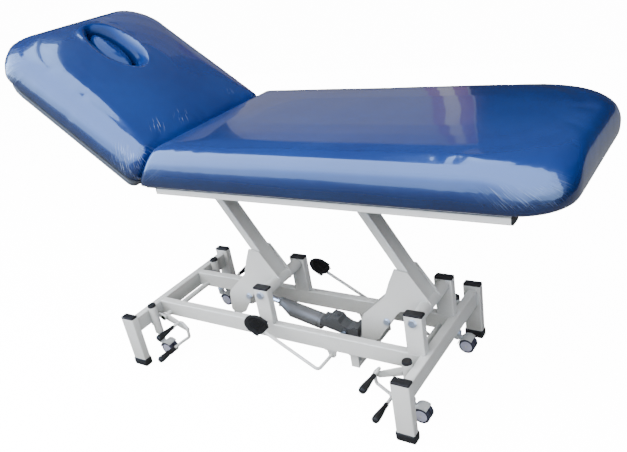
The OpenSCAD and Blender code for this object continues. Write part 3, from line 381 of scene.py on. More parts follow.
def vinylFinish():
    material, tree, shader = newFinish("blueVinyl", vinyl["deep"], vinyl["roughness"])
    cloud = objectNoise(tree, 3.2, 3.0)
    blue = ramp(tree, cloud, 0.30, 0.72, vinyl["deep"], vinyl["light"])
    haze = objectNoise(tree, 11.0, 4.0)
    roughFrom(tree, shader, haze, vinyl["roughness"] - 0.05, vinyl["roughness"] + 0.07)
    # small bends, such as the slot's lip, are duller than the wide tight faces
    dull = addNode(tree, "ShaderNodeAttribute", attribute_name="dull")
    for key, ends in (("Coat Weight", vinyl["coat"]), ("Specular IOR Level", vinyl["sheen"])):
        tree.links.new(spread(tree, dull.outputs["Fac"], *ends), shader.inputs[key])
    shader.inputs["Coat Roughness"].default_value = vinyl["coatRoughness"]
    shader.inputs["Coat IOR"].default_value = vinyl["coatIor"]
    # embossed grain of the coated cloth
    spot = addNode(tree, "ShaderNodeTexCoord")
    cells = addNode(tree, "ShaderNodeTexVoronoi", Scale=vinyl["grain"])
    cells.feature = "SMOOTH_F1"
    tree.links.new(spot.outputs["Object"], cells.inputs["Vector"])
    grain = bumpFrom(tree, shader, cells.outputs["Distance"], 0.25, vinyl["grainDepth"])
    # slow waves of the pulled cloth
    waves = bumpFrom(tree, shader, objectNoise(tree, 9.0, 2.0), 0.25, 0.004, grain)
    # fine gathers, laid out by the attribute that each cushion carries
    way = addNode(tree, "ShaderNodeAttribute", attribute_name="edgeWay")
    apart = addNode(tree, "ShaderNodeSeparateXYZ")
    tree.links.new(way.outputs["Vector"], apart.inputs["Vector"])
    stretched = addNode(tree, "ShaderNodeMapping", Scale=vinyl["gather"])
    tree.links.new(way.outputs["Vector"], stretched.inputs["Vector"])
    folds = addNode(tree, "ShaderNodeTexNoise", Scale=1.0, Detail=2.5, Roughness=0.6,
                    Distortion=0.6)
    tree.links.new(stretched.outputs["Vector"], folds.inputs["Vector"])
    sharp = spread(tree, folds.outputs["Fac"], -1.0, 1.0)
    depth = calculate(tree, "MULTIPLY", sharp, apart.outputs["Z"])
    bumpFrom(tree, shader, depth, 0.9, vinyl["gatherDepth"], waves)
    # painted highlight: the sharpest creases are painted pale on their crests
    crest = mapRange(tree, folds.outputs["Fac"], vinyl["creaseFrom"], vinyl["creaseTo"], 0.0, 1.0)
    steep = calculate(tree, "POWER", apart.outputs["Z"], vinyl["creasePower"])
    crease = calculate(tree, "MULTIPLY", crest, spread(tree, steep, 0.0, vinyl["creaseShare"]))
    # painted shade: the cushion's foot is painted darker than its top
    low = mapRange(tree, apart.outputs["Y"], vinyl["footFrom"], vinyl["footTo"], 0.0, 1.0)
    blue = multiply(tree, blue, ramp(tree, low, 0.0, 1.0, vinyl["footTone"], (1, 1, 1)))
    # the slot's walls see little light
    hollow = addNode(tree, "ShaderNodeAttribute", attribute_name="hollow")
    shut = addNode(tree, "ShaderNodeMix", data_type="RGBA", blend_type="MULTIPLY")
    tree.links.new(hollow.outputs["Fac"], shut.inputs["Factor"])
    tree.links.new(blue, shut.inputs["A"])
    shut.inputs["B"].default_value = (*[vinyl["hollowTone"]] * 3, 1)
    paintedGlintMix = addNode(tree, "ShaderNodeMix", data_type="RGBA")
    tree.links.new(crease, paintedGlintMix.inputs["Factor"])
    tree.links.new(shut.outputs["Result"], paintedGlintMix.inputs["A"])
    paintedGlintMix.inputs["B"].default_value = (*vinyl["crease"], 1)
    tree.links.new(paintedGlintMix.outputs["Result"], shader.inputs["Base Color"])
    return material


def makeFinishes():
    return {
        "white_enamel": paintedSteel("whiteEnamel", (0.81, 0.81, 0.79)),
        "black_plastic": plastic("blackPlastic", (0.012, 0.012, 0.013), 0.42),
        "black_rubber": plastic("blackRubber", (0.010, 0.010, 0.010), 0.50, 350.0, 0.0006),
        "zinc_steel": metal("zincSteel", (0.62, 0.62, 0.62), 0.34),
        "chrome_steel": metal("chromedRod", (0.80, 0.80, 0.81), 0.12, (6, 1, 6)),
        "blue_vinyl": vinylFinish(),
        "board": boardFinish("boardEdge", (0.055, 0.055, 0.052)),
        "pump_grey": paintedSteel("pumpPaint", (0.19, 0.195, 0.205), 0.36),
        "pump_cast": paintedSteel("castPaint", (0.10, 0.105, 0.11), 0.45),
        "castor_hood": plastic("castorHood", (0.46, 0.47, 0.47), 0.34, 300.0, 0.0002),
        "castor_wheel": plastic("castorWheel", (0.42, 0.42, 0.53), 0.36, 300.0, 0.0002),
    }


finishes = makeFinishes()
castorTread = plastic("castorTread", (0.03, 0.03, 0.045), 0.5, 300.0, 0.0003)


def dressNodes():
    for entry in frame["record"]["subparts"]:
        node = nodes[entry["node"]]
        node.data.materials.clear()
        node.data.materials.append(finishes[entry["material_slot"]])
    for name in ("tail_pin", "pivot_bushes"):
        nodes[name].data.materials[0] = finishes["zinc_steel"]


# small mesh helpers
def meshPiece(name, points, faces):
    mesh = bpy.data.meshes.new(name)
    mesh.from_pydata(points, [], faces)
    mesh.update()
    piece = bpy.data.objects.new(name, mesh)
    intoScene(piece)
    return piece


def pick(piece):
    bpy.ops.object.select_all(action="DESELECT")
    bpy.context.view_layer.objects.active = piece
    piece.select_set(True)


def applyAll(piece):
    pick(piece)
    for modifier in list(piece.modifiers):
        bpy.ops.object.modifier_apply(modifier=modifier.name)


def step(low, high, x):
    x = min(1.0, max(0.0, (x - low) / (high - low)))
    return x * x * (3 - 2 * x)


# cushions
couch = {
    "hinge": Vector((-0.377672, 0.0, 0.755659)),
    "tilt": math.radians(36),
    # the base's middle along X
    "baseX": -0.109672,
    "width": 0.654,
    "thick": 0.128,
    "crown": 0.016,
    "edge": 0.054,
    "corner": 1.25,
    "beside": 0.55,
    # shares of the side's height above which the rings' corners open out
    "highFrom": 0.4,
    "turnFrom": 0.25,
    # above this height a cushion counts as its top
    "topFrom": 0.06,
}
# how far in, as shares of the edge, and how high, as shares of the side
edgeShape = [(0.02, 0.10), (0.0, 0.26), (0.03, 0.48), (0.12, 0.70), (0.36, 0.88), (0.68, 0.965),
             (1.0, 1.0)]
rimShape = [(0.385, 0.0), (0.370, -0.085), (0.260, -0.105), (0.100, -0.040)]
baseShape = [(0.12, 0.0), (0.05, 0.035)]
crownShape = [(0.26, 0.48), (0.42, 0.80), (0.62, 1.0)]


def outline(x0, x1, width, r0, r1, steps=12):
    points = []
    for quarter in range(4):
        for i in range(steps + 1):
            angle = math.radians(90 * quarter + 90 * i / steps)
            atFoot = quarter in (0, 3)
            radius = r1 if atFoot else r0
            centreX = x1 - r1 if atFoot else x0 + r0
            centreY = (1 if quarter < 2 else -1) * (width / 2 - radius)
            points.append((centreX + radius * math.cos(angle), centreY + radius * math.sin(angle)))
    return points


def loftRings(name, rings):
    count = len(rings[0])
    points = [p for ring in rings for p in ring]
    faces = [list(range(count - 1, -1, -1)),
             [(len(rings) - 1) * count + i for i in range(count)]]
    for k in range(len(rings) - 1):
        for i in range(count):
            j = (i + 1) % count
            faces.append([k * count + i, k * count + j, (k + 1) * count + j, (k + 1) * count + i])
    return meshPiece(name, points, faces)


def ringRadius(radius, inward, high):
    if radius < couch["edge"]:
        return max(radius - couch["beside"] * inward, radius / 3)
    wide = radius + couch["corner"] * inward if high else radius - min(inward, radius / 4)
    return min(wide, (couch["width"] / 2 - inward) * 0.9)


def smoothRow(row, parts=3):
    # more rings along the edge, on a smooth curve through the given ones
    points = []
    for i in range(len(row) - 1):
        a, b = Vector(row[max(i - 1, 0)]), Vector(row[i])
        c, d = Vector(row[i + 1]), Vector(row[min(i + 2, len(row) - 1)])
        for k in range(parts):
            t = k / parts
            points.append(0.5 * (2 * b + (c - a) * t + (2 * a - 5 * b + 4 * c - d) * t * t
                                 + (3 * b - a - 3 * c + d) * t * t * t))
    return points + [Vector(row[-1])]


def cushionShell(name, low, s, lean):
    side = couch["thick"] - couch["crown"]
    row = [(e * couch["edge"], z * side) for e, z in low]
    row = [Vector(p) for p in row[:-1]] + smoothRow(
        [row[-1]] + [(e * couch["edge"], z * side) for e, z in edgeShape])
    rings = []
    for inward, z in row:
        high = z > couch["highFrom"] * side
        e = inward + s["shrink"]
        r1 = s["r1"] + s["topTurn"] * step(couch["turnFrom"], 1.0, z / side)
        rings.append([(x, y, z) for x, y in outline(
            s["x0"] + z * lean + s["headShare"] * e,
            s["x1"] - s["footShare"] * e, couch["width"] - 2 * e,
            ringRadius(s["r0"], inward, high), ringRadius(r1, inward, high))])
    for inward, height in crownShape:
        e = inward * couch["width"] / 2
        z = side + height * s["crown"]
        rings.append([(x, y, z) for x, y in outline(
            s["x0"] + z * lean + e, s["x1"] - e, couch["width"] - 2 * e,
            ringRadius(max(s["r0"], couch["edge"]), e, True),
            ringRadius(max(s["r1"], couch["edge"]) + s["topTurn"], e, True))])
    return loftRings(name, rings)


def remesh(piece, voxel):
    pick(piece)
    piece.data.remesh_voxel_size = voxel
    piece.data.use_remesh_fix_poles = False
    bpy.ops.object.voxel_remesh()


air = {
    "frames": 20, "quality": 6, "tension": 25, "compression": 20, "bending": 3.0,
    # share of an inward move that the filling stops, height at which the foot comes free
    "held": 0.88, "freeFrom": 0.012,
}


def inflate(piece, pressure, cap):
    scene = bpy.context.scene
    before = [v.co.copy() for v in piece.data.vertices]
    outwards = [v.normal.copy() for v in piece.data.vertices]
    pick(piece)
    cloth = piece.modifiers.new("air", "CLOTH")
    cloth.settings.use_pressure = True
    cloth.settings.uniform_pressure_force = pressure
    cloth.settings.effector_weights.gravity = 0
    cloth.settings.quality = air["quality"]
    cloth.settings.tension_stiffness = air["tension"]
    cloth.settings.compression_stiffness = air["compression"]
    cloth.settings.bending_stiffness = air["bending"]
    cloth.point_cache.frame_start, cloth.point_cache.frame_end = 1, air["frames"]
    for number in range(1, air["frames"] + 1):
        scene.frame_set(number)
    shape = piece.evaluated_get(bpy.context.evaluated_depsgraph_get())
    after = [v.co.copy() for v in shape.data.vertices]
    piece.modifiers.remove(cloth)
    for vertex, start, end, out in zip(piece.data.vertices, before, after, outwards):
        move = end - start
        # the filling holds the cover out, so it hardly gives inwards
        if move.dot(out) < 0:
            move -= out * move.dot(out) * air["held"]
        if move.length > cap:
            move *= cap / move.length
        # the underside lies on its board and stays flat
        vertex.co = start + move * step(0.0, air["freeFrom"], start.z)
    piece.data.update()
    scene.frame_set(1)


def relax(piece, factor, repeat):
    modifier = piece.modifiers.new("relax", "SMOOTH")
    modifier.factor, modifier.iterations = factor, repeat
    applyAll(piece)


def refine(piece):
    modifier = piece.modifiers.new("refine", "SUBSURF")
    modifier.levels = modifier.render_levels = 1
    applyAll(piece)


def edgeWays(x, y, z, s, lean):
    half = couch["width"] / 2
    x0, x1 = s["x0"] + z * lean, s["x1"]
    r0, r1 = s["r0"], s["r1"]
    # nearest corner, in which the outline turns
    atFoot = x > (x0 + x1) / 2
    radius = r1 if atFoot else r0
    cornerX = x1 - radius if atFoot else x0 + radius
    cornerY = (half - radius) * (1 if y > 0 else -1)
    outX = (x - cornerX) * (1 if atFoot else -1)
    outY = (y - cornerY) * (1 if y > 0 else -1)
    arc = radius * math.pi / 2
    if outX > 0 and outY > 0:
        angle = math.atan2(outX, outY)
        inward = radius - math.hypot(outX, outY)
        along = angle * radius - arc / 2
    elif outY > outX:
        inward = radius - outY
        along = outX - arc / 2
    else:
        inward = radius - outX
        along = arc / 2 - outY
    return along, inward, atFoot


gathers = {
    # bumps per metre along and across the edge, and of the slow waves
    "lumps": (14, 9), "folds": (62, 7), "slow": 5.5, "ragged": 0.05,
    # the puckers' lines run aslant: shares of X and Y that count across them
    "puckerShares": (0.5, 0.8), "puckerApart": 0.5, "puckerLong": 0.8,
    # share of the reach that is gathered in full, and the height of the foot, which stays smooth
    "fullTo": 0.30, "footTo": 0.02,
}


def gatherEdges(piece, s, lean):
    mesh = piece.data
    way = mesh.attributes.new("edgeWay", "FLOAT_VECTOR", "POINT")
    lumpAlong, lumpAcross = gathers["lumps"]
    foldAlong, foldAcross = gathers["folds"]
    shareX, shareY = gathers["puckerShares"]
    moves = []
    normals = [v.normal.copy() for v in mesh.vertices]
    for vertex in mesh.vertices:
        x, y, z = vertex.co
        along, inward, atFoot = edgeWays(x, y, z, s, lean)
        across = z + max(0.0, inward)
        reach = s["footReach"] if atFoot else s["headReach"]
        strength = s["footGather"] if atFoot else s["headGather"]
        near = 1 - step(reach * gathers["fullTo"], reach, abs(along + s["beforeTurn"]))
        # each corner has folds of its own
        lump = noise.noise(Vector((along * lumpAlong, across * lumpAcross, 3.7 if atFoot else 9.1)))
        fadeTo = s["fadeTo"] + gathers["ragged"] * lump
        low = step(0.0, gathers["footTo"], z)
        mask = strength * near * low * (1 - step(s["fadeFrom"], fadeTo, across))
        side = 1.0 if y > 0 else 2.0
        end = 5.0 if atFoot else 0.0
        slanted = along + s["slant"] * across
        for px, py, size, weight in s["puckers"]:
            long = gathers["puckerLong"] * size
            patch = weight * math.exp(-((x - px) / long) ** 2 - ((y - py) / size) ** 2)
            if patch > mask and z > couch["topFrom"]:
                mask, slanted = patch, (y * shareY + x * shareX) * gathers["puckerApart"] + 9
        # the third value sets the fine gathers and how pale their crests are painted, a painted
        # highlight; the second sets the painted shade at the foot
        way.data[vertex.index].vector = (slanted + side + end, across, max(0.0, mask))
        # the larger folds are in the mesh
        wave = noise.noise(Vector((slanted * foldAlong + side * 7 + end, across * foldAcross, 0.5)))
        slow = noise.noise(Vector((x, y, z)) * gathers["slow"])
        height = mask * s["foldDepth"] * wave + s["slack"] * slow * low
        moves.append(normals[vertex.index] * height)
    for vertex, move in zip(mesh.vertices, moves):
        vertex.co += move
    mesh.update()


def plumpShell(name, low, s, lean):
    pad = cushionShell(name, low, s, lean)
    remesh(pad, s["voxel"])
    inflate(pad, s["pressure"], s["cap"])
    relax(pad, 0.4, 2)
    return pad


def toCouch(piece, rise, tilt):
    piece.data.transform(Matrix.Translation((0, 0, rise)))
    turn = Matrix.Rotation(tilt, 4, "Y")
    piece.data.transform(Matrix.Translation(couch["hinge"]) @ turn)
    piece.data.update()


mainPad = {
    "x0": 0.013437, "x1": 1.283, "r0": 0.034, "r1": 0.126, "rise": 0.0253,
    "headShare": 0.55, "footShare": 1.0, "crown": 0.0125, "shrink": 0.0015,
    "voxel": 0.0080, "pressure": 4.0, "cap": 0.0045,
    "footReach": 0.16, "headReach": 0.05, "footGather": 0.45, "headGather": 0.25,
    "foldDepth": 0.0011, "slack": 0.0010, "slant": 1.0, "beforeTurn": 0.055, "puckers": [],
    "fadeFrom": 0.055, "fadeTo": 0.105, "topTurn": 0.050,
    # where a bend beside the hinge would begin and end, and the height at which it would be
    # measured
    "bendFrom": 0.13, "bendTo": 0.012, "bendHeight": 0.05,
}
headPad = {
    "x0": -0.650, "x1": -0.006, "r0": 0.098, "r1": 0.036, "rise": 0.0253,
    "headShare": 1.0, "footShare": 0.55, "crown": 0.0165, "shrink": 0.0015,
    "voxel": 0.0070, "pressure": 4.0, "cap": 0.0045,
    "footReach": 0.13, "headReach": 0.15, "footGather": 0.9, "headGather": 0.6,
    "foldDepth": 0.0016, "slack": 0.0010, "slant": 0.6, "beforeTurn": 0.0,
    "fadeFrom": 0.09, "fadeTo": 0.165, "topTurn": 0.0,
    # puckered patches: folds, with painted highlight on their crests
    "puckers": [(-0.082, -0.176, 0.030, 0.95), (-0.074, -0.072, 0.027, 0.95),
                (-0.075, 0.190, 0.020, 0.5)],
    "slotAt": -0.452, "slotLength": 0.206, "slotWidth": 0.092, "slotSteps": 64, "slotPoint": 0.22,
    # up the slot's walls, as shares of the thickness and of the edge
    "slotWalls": [(-0.2, 0.0), (0.60, 0.0), (0.75, 0.05), (0.86, 0.14), (0.94, 0.30), (1.0, 0.56),
                  (1.08, 1.05), (1.4, 2.0)],
    "lipRise": 0.0020, "lipAt": 0.022, "lipWide": 0.014,
    "dullFrom": 0.012, "dullTo": 0.045, "dullAbove": 0.05, "hollowTo": 0.014,
}


def makeMainPad():
    s = mainPad
    lean = math.tan(couch["tilt"])
    pad = plumpShell("mainPad", rimShape, s, lean)
    refine(pad)
    gatherEdges(pad, s, lean)
    toCouch(pad, s["rise"], 0.0)
    finishPad(pad, None, "main_cushion")
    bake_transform(pad)
    print("main pad:", len(pad.data.polygons), "faces")


def fromSlot(spot):
    # how far a point lies outside the slot's rim, from above
    s = headPad
    past = max(0.0, abs(spot.x - s["slotAt"]) - (s["slotLength"] - s["slotWidth"]) / 2)
    return math.hypot(past, spot.y) - s["slotWidth"] / 2


def slotRings(grow, heights):
    s = headPad
    rings = []
    for share, growth in heights:
        g = growth * couch["edge"] + grow
        ring = []
        for i in range(s["slotSteps"]):
            angle = 2 * math.pi * i / s["slotSteps"]
            # drawn to a point at both ends, like an eye
            lean = math.sin(angle) * abs(math.sin(angle)) ** s["slotPoint"]
            ring.append((s["slotAt"] + (s["slotLength"] / 2 + g) * math.cos(angle),
                         (s["slotWidth"] / 2 + g) * lean, share * couch["thick"]))
        rings.append(ring)
    return rings


def makeHeadPad():
    s = headPad
    pad = plumpShell("headPad", baseShape, s, 0.0)
    # soft lip round the breathing slot
    for vertex in pad.data.vertices:
        if vertex.co.z > couch["topFrom"]:
            away = fromSlot(vertex.co)
            vertex.co.z += s["lipRise"] * math.exp(-((away - s["lipAt"]) / s["lipWide"]) ** 2)
    cutter = loftRings("slotCutter", slotRings(0.0, s["slotWalls"]))
    cut = pad.modifiers.new("slot", "BOOLEAN")
    cut.operation, cut.object, cut.solver = "DIFFERENCE", cutter, "EXACT"
    applyAll(pad)
    bpy.data.objects.remove(cutter)
    refine(pad)
    gatherEdges(pad, s, 0.0)
    dull = pad.data.attributes.new("dull", "FLOAT", "POINT")
    hollow = pad.data.attributes.new("hollow", "FLOAT", "POINT")
    for vertex in pad.data.vertices:
        away = fromSlot(vertex.co)
        atRim = 1 - step(s["dullFrom"], s["dullTo"], away)
        onTop = step(s["dullAbove"], couch["topFrom"], vertex.co.z)
        dull.data[vertex.index].value = atRim * onTop
        # painted shade: marks the slot's walls, which the vinyl paints darker
        hollow.data[vertex.index].value = 1 - step(0.0, s["hollowTo"], away)
    toCouch(pad, s["rise"], couch["tilt"])
    finishPad(pad, "head_section", "head_cushion")
    print("head pad:", len(pad.data.polygons), "faces")


slotPad = {
    "rise": 0.0253, "gap": 0.0012, "voxel": 0.005, "pressure": 2.0, "cap": 0.001,
    "walls": [(0.0, -0.10), (0.06, 0.0), (0.56, 0.0), (0.68, -0.04), (0.78, -0.15),
              (0.85, -0.36), (0.89, -0.66), (0.91, -1.00)],
    # the plug takes a share of the slot's painted shade
    "dull": 0.9, "hollow": 0.3,
}


def makeSlotPad():
    s = slotPad
    pad = loftRings("slotPad", slotRings(-s["gap"], s["walls"]))
    remesh(pad, s["voxel"])
    inflate(pad, s["pressure"], s["cap"])
    relax(pad, 0.5, 2)
    refine(pad)
    way = pad.data.attributes.new("edgeWay", "FLOAT_VECTOR", "POINT")
    for vertex in pad.data.vertices:
        way.data[vertex.index].vector = (vertex.co.x, 0.2, 0.0)
    for name in ("dull", "hollow"):
        layer = pad.data.attributes.new(name, "FLOAT", "POINT")
        layer.data.foreach_set("value", [s[name]] * len(pad.data.vertices))
    toCouch(pad, s["rise"], couch["tilt"])
    finishPad(pad, "face_plug", "slot_plug")


def finishPad(pad, body, node):
    pad.data.materials.append(finishes["blue_vinyl"])
    pick(pad)
    bpy.ops.object.shade_smooth()
    if body:
        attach(pad, body)
    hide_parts(node)


# hard parts, shaped in edit mode
def openEdit(piece, kind):
    pick(piece)
    bpy.ops.object.mode_set(mode="EDIT")
    bpy.ops.mesh.select_mode(type=kind)
    bpy.ops.mesh.select_all(action="DESELECT")
    return bmesh.from_edit_mesh(piece.data)


def insetFaces(piece, test, rings):
    # rings from the rim inwards, each with its width and its rise
    shape = openEdit(piece, "FACE")
    for face in shape.faces:
        face.select_set(test(face.calc_center_median(), face.normal))
    bmesh.update_edit_mesh(piece.data)
    for inset, rise in rings:
        bpy.ops.mesh.inset(thickness=inset, depth=rise)
    bpy.ops.object.mode_set(mode="OBJECT")


def bevelEdges(piece, test, offset, segments):
    shape = openEdit(piece, "EDGE")
    for edge in shape.edges:
        edge.select_set(test(edge.verts[0].co, edge.verts[1].co))
    bmesh.update_edit_mesh(piece.data)
    bpy.ops.mesh.bevel(offset=offset, segments=segments, affect="EDGES")
    bpy.ops.object.mode_set(mode="OBJECT")


def settle(piece):
    pick(piece)
    bpy.ops.object.transform_apply(location=True, rotation=True, scale=True)


def copyPiece(piece, name, matrix, flip=False):
    twin = piece.copy()
    twin.data = piece.data.copy()
    twin.name = name
    intoScene(twin)
    twin.data.transform(matrix)
    if flip:
        twin.data.flip_normals()
    twin.data.update()
    return twin


def smoothByAngle(piece, degrees):
    pick(piece)
    bpy.ops.object.shade_smooth_by_angle(angle=math.radians(degrees))


castor = {
    "radius": 0.0275, "tread": 0.015, "edge": 0.0016,
    "axle": 0.029, "trail": 0.035, "stemX": 0.533, "stemY": 0.190,
    "web": 0.0038, "disc": 0.0212,
    # rings of the outer face
    "face": [(0.0012, 0.0), (0.0004, -0.00176), (0.0012, 0.0), (0.0005, 0.00143),
             (0.0022, 0.0004), (0.0035, 0.0005), (0.005, 0.0004), (0.005, 0.0002)],
}


def makeWheels():
    # one wheel, its outer face towards +Y, its inner face at y = 0
    s = castor
    bpy.ops.mesh.primitive_cylinder_add(vertices=64, radius=s["radius"], depth=s["tread"],
                                        location=(0, s["tread"] / 2, 0),
                                        rotation=(-math.pi / 2, 0, 0))
    wheel = bpy.context.active_object
    settle(wheel)
    bevelEdges(wheel, lambda a, b: abs(a.y - b.y) < 1e-5, s["edge"], 3)
    outer = s["tread"] - 1e-4
    insetFaces(wheel, lambda c, n: n.y > 0.9 and c.y > outer, s["face"])
    wheel.data.materials.append(castorTread)
    wheel.data.materials.append(finishes["castor_wheel"])
    for face in wheel.data.polygons:
        away = math.hypot(face.center.x, face.center.z)
        face.material_index = 1 if face.normal.y > 0.5 and away < s["disc"] else 0
    smoothByAngle(wheel, 35)
    for end, endSign in (("head", -1), ("foot", 1)):
        for side, sideSign in (("left", 1), ("right", -1)):
            for where, outSign in (("out", 1), ("in", -1)):
                sign = sideSign * outSign
                centre = (endSign * s["stemX"] + couch["baseX"] + s["trail"],
                          sideSign * s["stemY"] + sign * s["web"], s["axle"])
                turn = Matrix.Rotation(0.0 if sign > 0 else math.pi, 4, "Z")
                name = f"wheel_{end}_{side}_{where}"
                twin = copyPiece(wheel, name.replace("wheel", "castorWheel"),
                                 Matrix.Translation(centre) @ turn)
                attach(twin, f"{end}_{side}_wheel_{where}")
                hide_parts(name)
    bpy.data.objects.remove(wheel)
    print("castor wheels: 8")


pedal = {
    # the shaft, and the rod that leads from it to each pad
    "shaftX": 0.216, "shaftZ": 0.112, "shaftRadius": 0.006, "shaftHalf": 0.139,
    "side": 0.208, "rodFrom": 0.1385, "rodRun": 0.2276, "rodRise": 0.1287,
    # the pad's near edge, behind and above the shaft
    "back": 0.198, "above": 0.112,
    "length": 0.066, "width": 0.062, "thick": 0.016, "edge": 0.0045,
    # the square end: how fast it is drawn out, and from where it narrows
    "draw": 1.6, "narrows": 0.62,
    # the ribs stand in a sunk face inside the rim
    "rim": 0.004, "sunk": 0.0012, "ribs": 6,
    "ribFrom": 0.016, "ribEnds": 0.034, "ribSides": 0.010, "ribRound": 0.009,
    "ribWide": 0.0038, "ribHigh": 0.0028, "ribDrop": 0.0006, "ribEdge": 0.0010,
}


def makePedalPads():
    # flat pad along +X, its near edge at the origin
    s = pedal
    long, half, thick = s["length"], s["width"] / 2, s["thick"]
    bpy.ops.mesh.primitive_cylinder_add(vertices=48, radius=half, depth=thick,
                                        location=(long - half, 0, 0))
    pad = bpy.context.active_object
    settle(pad)
    straight, narrows = long - half, s["narrows"]
    for vertex in pad.data.vertices:
        # the half towards the shaft is drawn out to a square end
        if vertex.co.x < straight - 1e-5:
            back = (straight - vertex.co.x) / half
            vertex.co.x = straight * (1 - min(1.0, back * s["draw"]))
            share = 1 if back < narrows else 1 - narrows * ((back - narrows) / (1 - narrows))
            beside = math.copysign(half * share, vertex.co.y)
            vertex.co.y = beside if abs(vertex.co.y) > 1e-6 else 0.0
    bevelEdges(pad, lambda a, b: abs(a.z - b.z) < 1e-5, s["edge"], 4)
    insetFaces(pad, lambda c, n: n.z > 0.98, [(s["rim"], 0.0), (s["sunk"], -s["sunk"])])
    ribs = []
    for i in range(s["ribs"]):
        x = s["ribFrom"] + i * (long - s["ribEnds"]) / (s["ribs"] - 1)
        reach = half - s["ribSides"]
        if x > straight:
            reach = math.sqrt(max(1e-6, (half - s["ribRound"]) ** 2 - (x - long + half) ** 2))
        bpy.ops.mesh.primitive_cube_add(size=1, location=(x, 0, thick / 2 - s["ribDrop"]),
                                        scale=(s["ribWide"], 2 * reach, s["ribHigh"]))
        rib = bpy.context.active_object
        settle(rib)
        bevelEdges(rib, lambda a, b: min(a.z, b.z) > thick / 2, s["ribEdge"], 2)
        ribs.append(rib)
    pad = joinPieces("ribbedPad", [pad, *ribs], finishes["black_rubber"], 35)
    x, z = s["shaftX"] + couch["baseX"] - s["back"], s["shaftZ"] + s["above"]
    slope = math.atan2(s["above"], s["back"])
    turn = Matrix.Rotation(-math.pi + slope, 4, "Y")
    for name, side in (("Left", 1), ("Right", -1)):
        place = (Matrix.Translation((x, side * s["side"], z)) @ turn
                 @ Matrix.Rotation(math.pi, 4, "X"))
        twin = copyPiece(pad, "pedalPad" + name, place)
        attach(twin, "pedals")
        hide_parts("pedal_pads")
    bpy.data.objects.remove(pad)
    print("pedal pads: 2")


# bent rods, levers and grips
def roundedPath(points, bend, parts=7):
    # the same way, with an arc in place of each corner
    points = [Vector(point) for point in points]
    path = [points[0]]
    for before, corner, after in zip(points, points[1:], points[2:]):
        back, ahead = (before - corner).normalized(), (after - corner).normalized()
        half = back.angle(ahead) / 2
        run = min(bend / math.tan(half), 0.45 * (before - corner).length,
                  0.45 * (after - corner).length)
        radius = run * math.tan(half)
        centre = corner + (back + ahead).normalized() * radius / math.sin(half)
        first = (corner + back * run - centre).normalized()
        last = (corner + ahead * run - centre).normalized()
        path += [centre + first.slerp(last, i / parts) * radius for i in range(parts + 1)]
    return path + [points[-1]]


def bentRod(name, points, radius, bend=0.014):
    data = bpy.data.curves.new(name, "CURVE")
    data.dimensions = "3D"
    data.bevel_depth, data.bevel_resolution = radius, 6
    data.use_fill_caps = True
    path = roundedPath(points, bend)
    line = data.splines.new("POLY")
    line.points.add(len(path) - 1)
    for knot, spot in zip(line.points, path):
        knot.co = (*spot, 1)
    piece = bpy.data.objects.new(name, data)
    intoScene(piece)
    pick(piece)
    bpy.ops.object.convert(target="MESH")
    return bpy.context.active_object


def hullOutline(circles, steps=48):
    points = []
    for k in range(steps):
        ux, uz = math.cos(2 * math.pi * k / steps), math.sin(2 * math.pi * k / steps)
        x, z, r = max(circles, key=lambda c: c[0] * ux + c[1] * uz + c[2])
        points.append((x + r * ux, z + r * uz))
    return points


def plateAcross(name, shape, y0, y1, edge=0.0008):
    # a flat outline in X and Z, given its thickness along Y and broken edges
    piece = loftRings(name, [[(x, y, z) for x, z in shape] for y in (y0, y1)])
    pick(piece)
    bpy.ops.object.mode_set(mode="EDIT")
    bpy.ops.mesh.select_all(action="SELECT")
    bpy.ops.mesh.normals_make_consistent(inside=False)
    bpy.ops.object.mode_set(mode="OBJECT")
    bevel = piece.modifiers.new("edges", "BEVEL")
    bevel.width, bevel.segments, bevel.limit_method = edge, 2, "ANGLE"
    bevel.angle_limit = math.radians(50)
    applyAll(piece)
    return piece


def joinPieces(name, pieces, material, degrees=40):
    bpy.ops.object.select_all(action="DESELECT")
    for piece in pieces:
        piece.select_set(True)
    bpy.context.view_layer.objects.active = pieces[0]
    bpy.ops.object.join()
    joined = bpy.context.active_object
    joined.name = name
    joined.data.materials.clear()
    joined.data.materials.append(material)
    smoothByAngle(joined, degrees)
    return joined


lever = {
    "shaftX": 0.510, "shaftZ": 0.149, "shaftRadius": 0.010, "side": 0.165, "cheek": 0.007,
    "rodRadius": 0.0059, "reach": 0.110, "throw": 0.023, "rise": math.radians(25),
    "hub": 0.013, "crankEnd": 0.008, "pin": 0.004, "pinOut": 0.184,
    # a slim arm leads from the hub to the middle of the bent rod: X, Z and radius of its ends
    "arm": [(0.0, 0.0, 0.016), (-0.098, -0.040, 0.011)], "armFrom": 0.154, "armTo": 0.160,
    "gripFrom": 0.208, "gripLong": 0.085, "gripRadius": 0.013, "rodShort": 0.006,
    "flutes": 10, "fluteDepth": 0.028, "fluteFrom": (0.30, 0.45), "fluteTo": (0.82, 0.92),
    "bends": [(-0.77, -0.02), (-1.00, -0.27), (-0.98, -0.64), (-0.50, -0.97)],
    # radius of the grip along its length, as shares
    "grip": [(0.0, 0.50), (0.012, 0.60), (0.05, 0.64), (0.12, 0.60), (0.24, 0.64),
             (0.40, 0.76), (0.56, 0.88), (0.72, 0.97), (0.84, 1.0), (0.92, 0.96), (0.965, 0.85),
             (0.99, 0.64), (1.0, 0.30)],
}


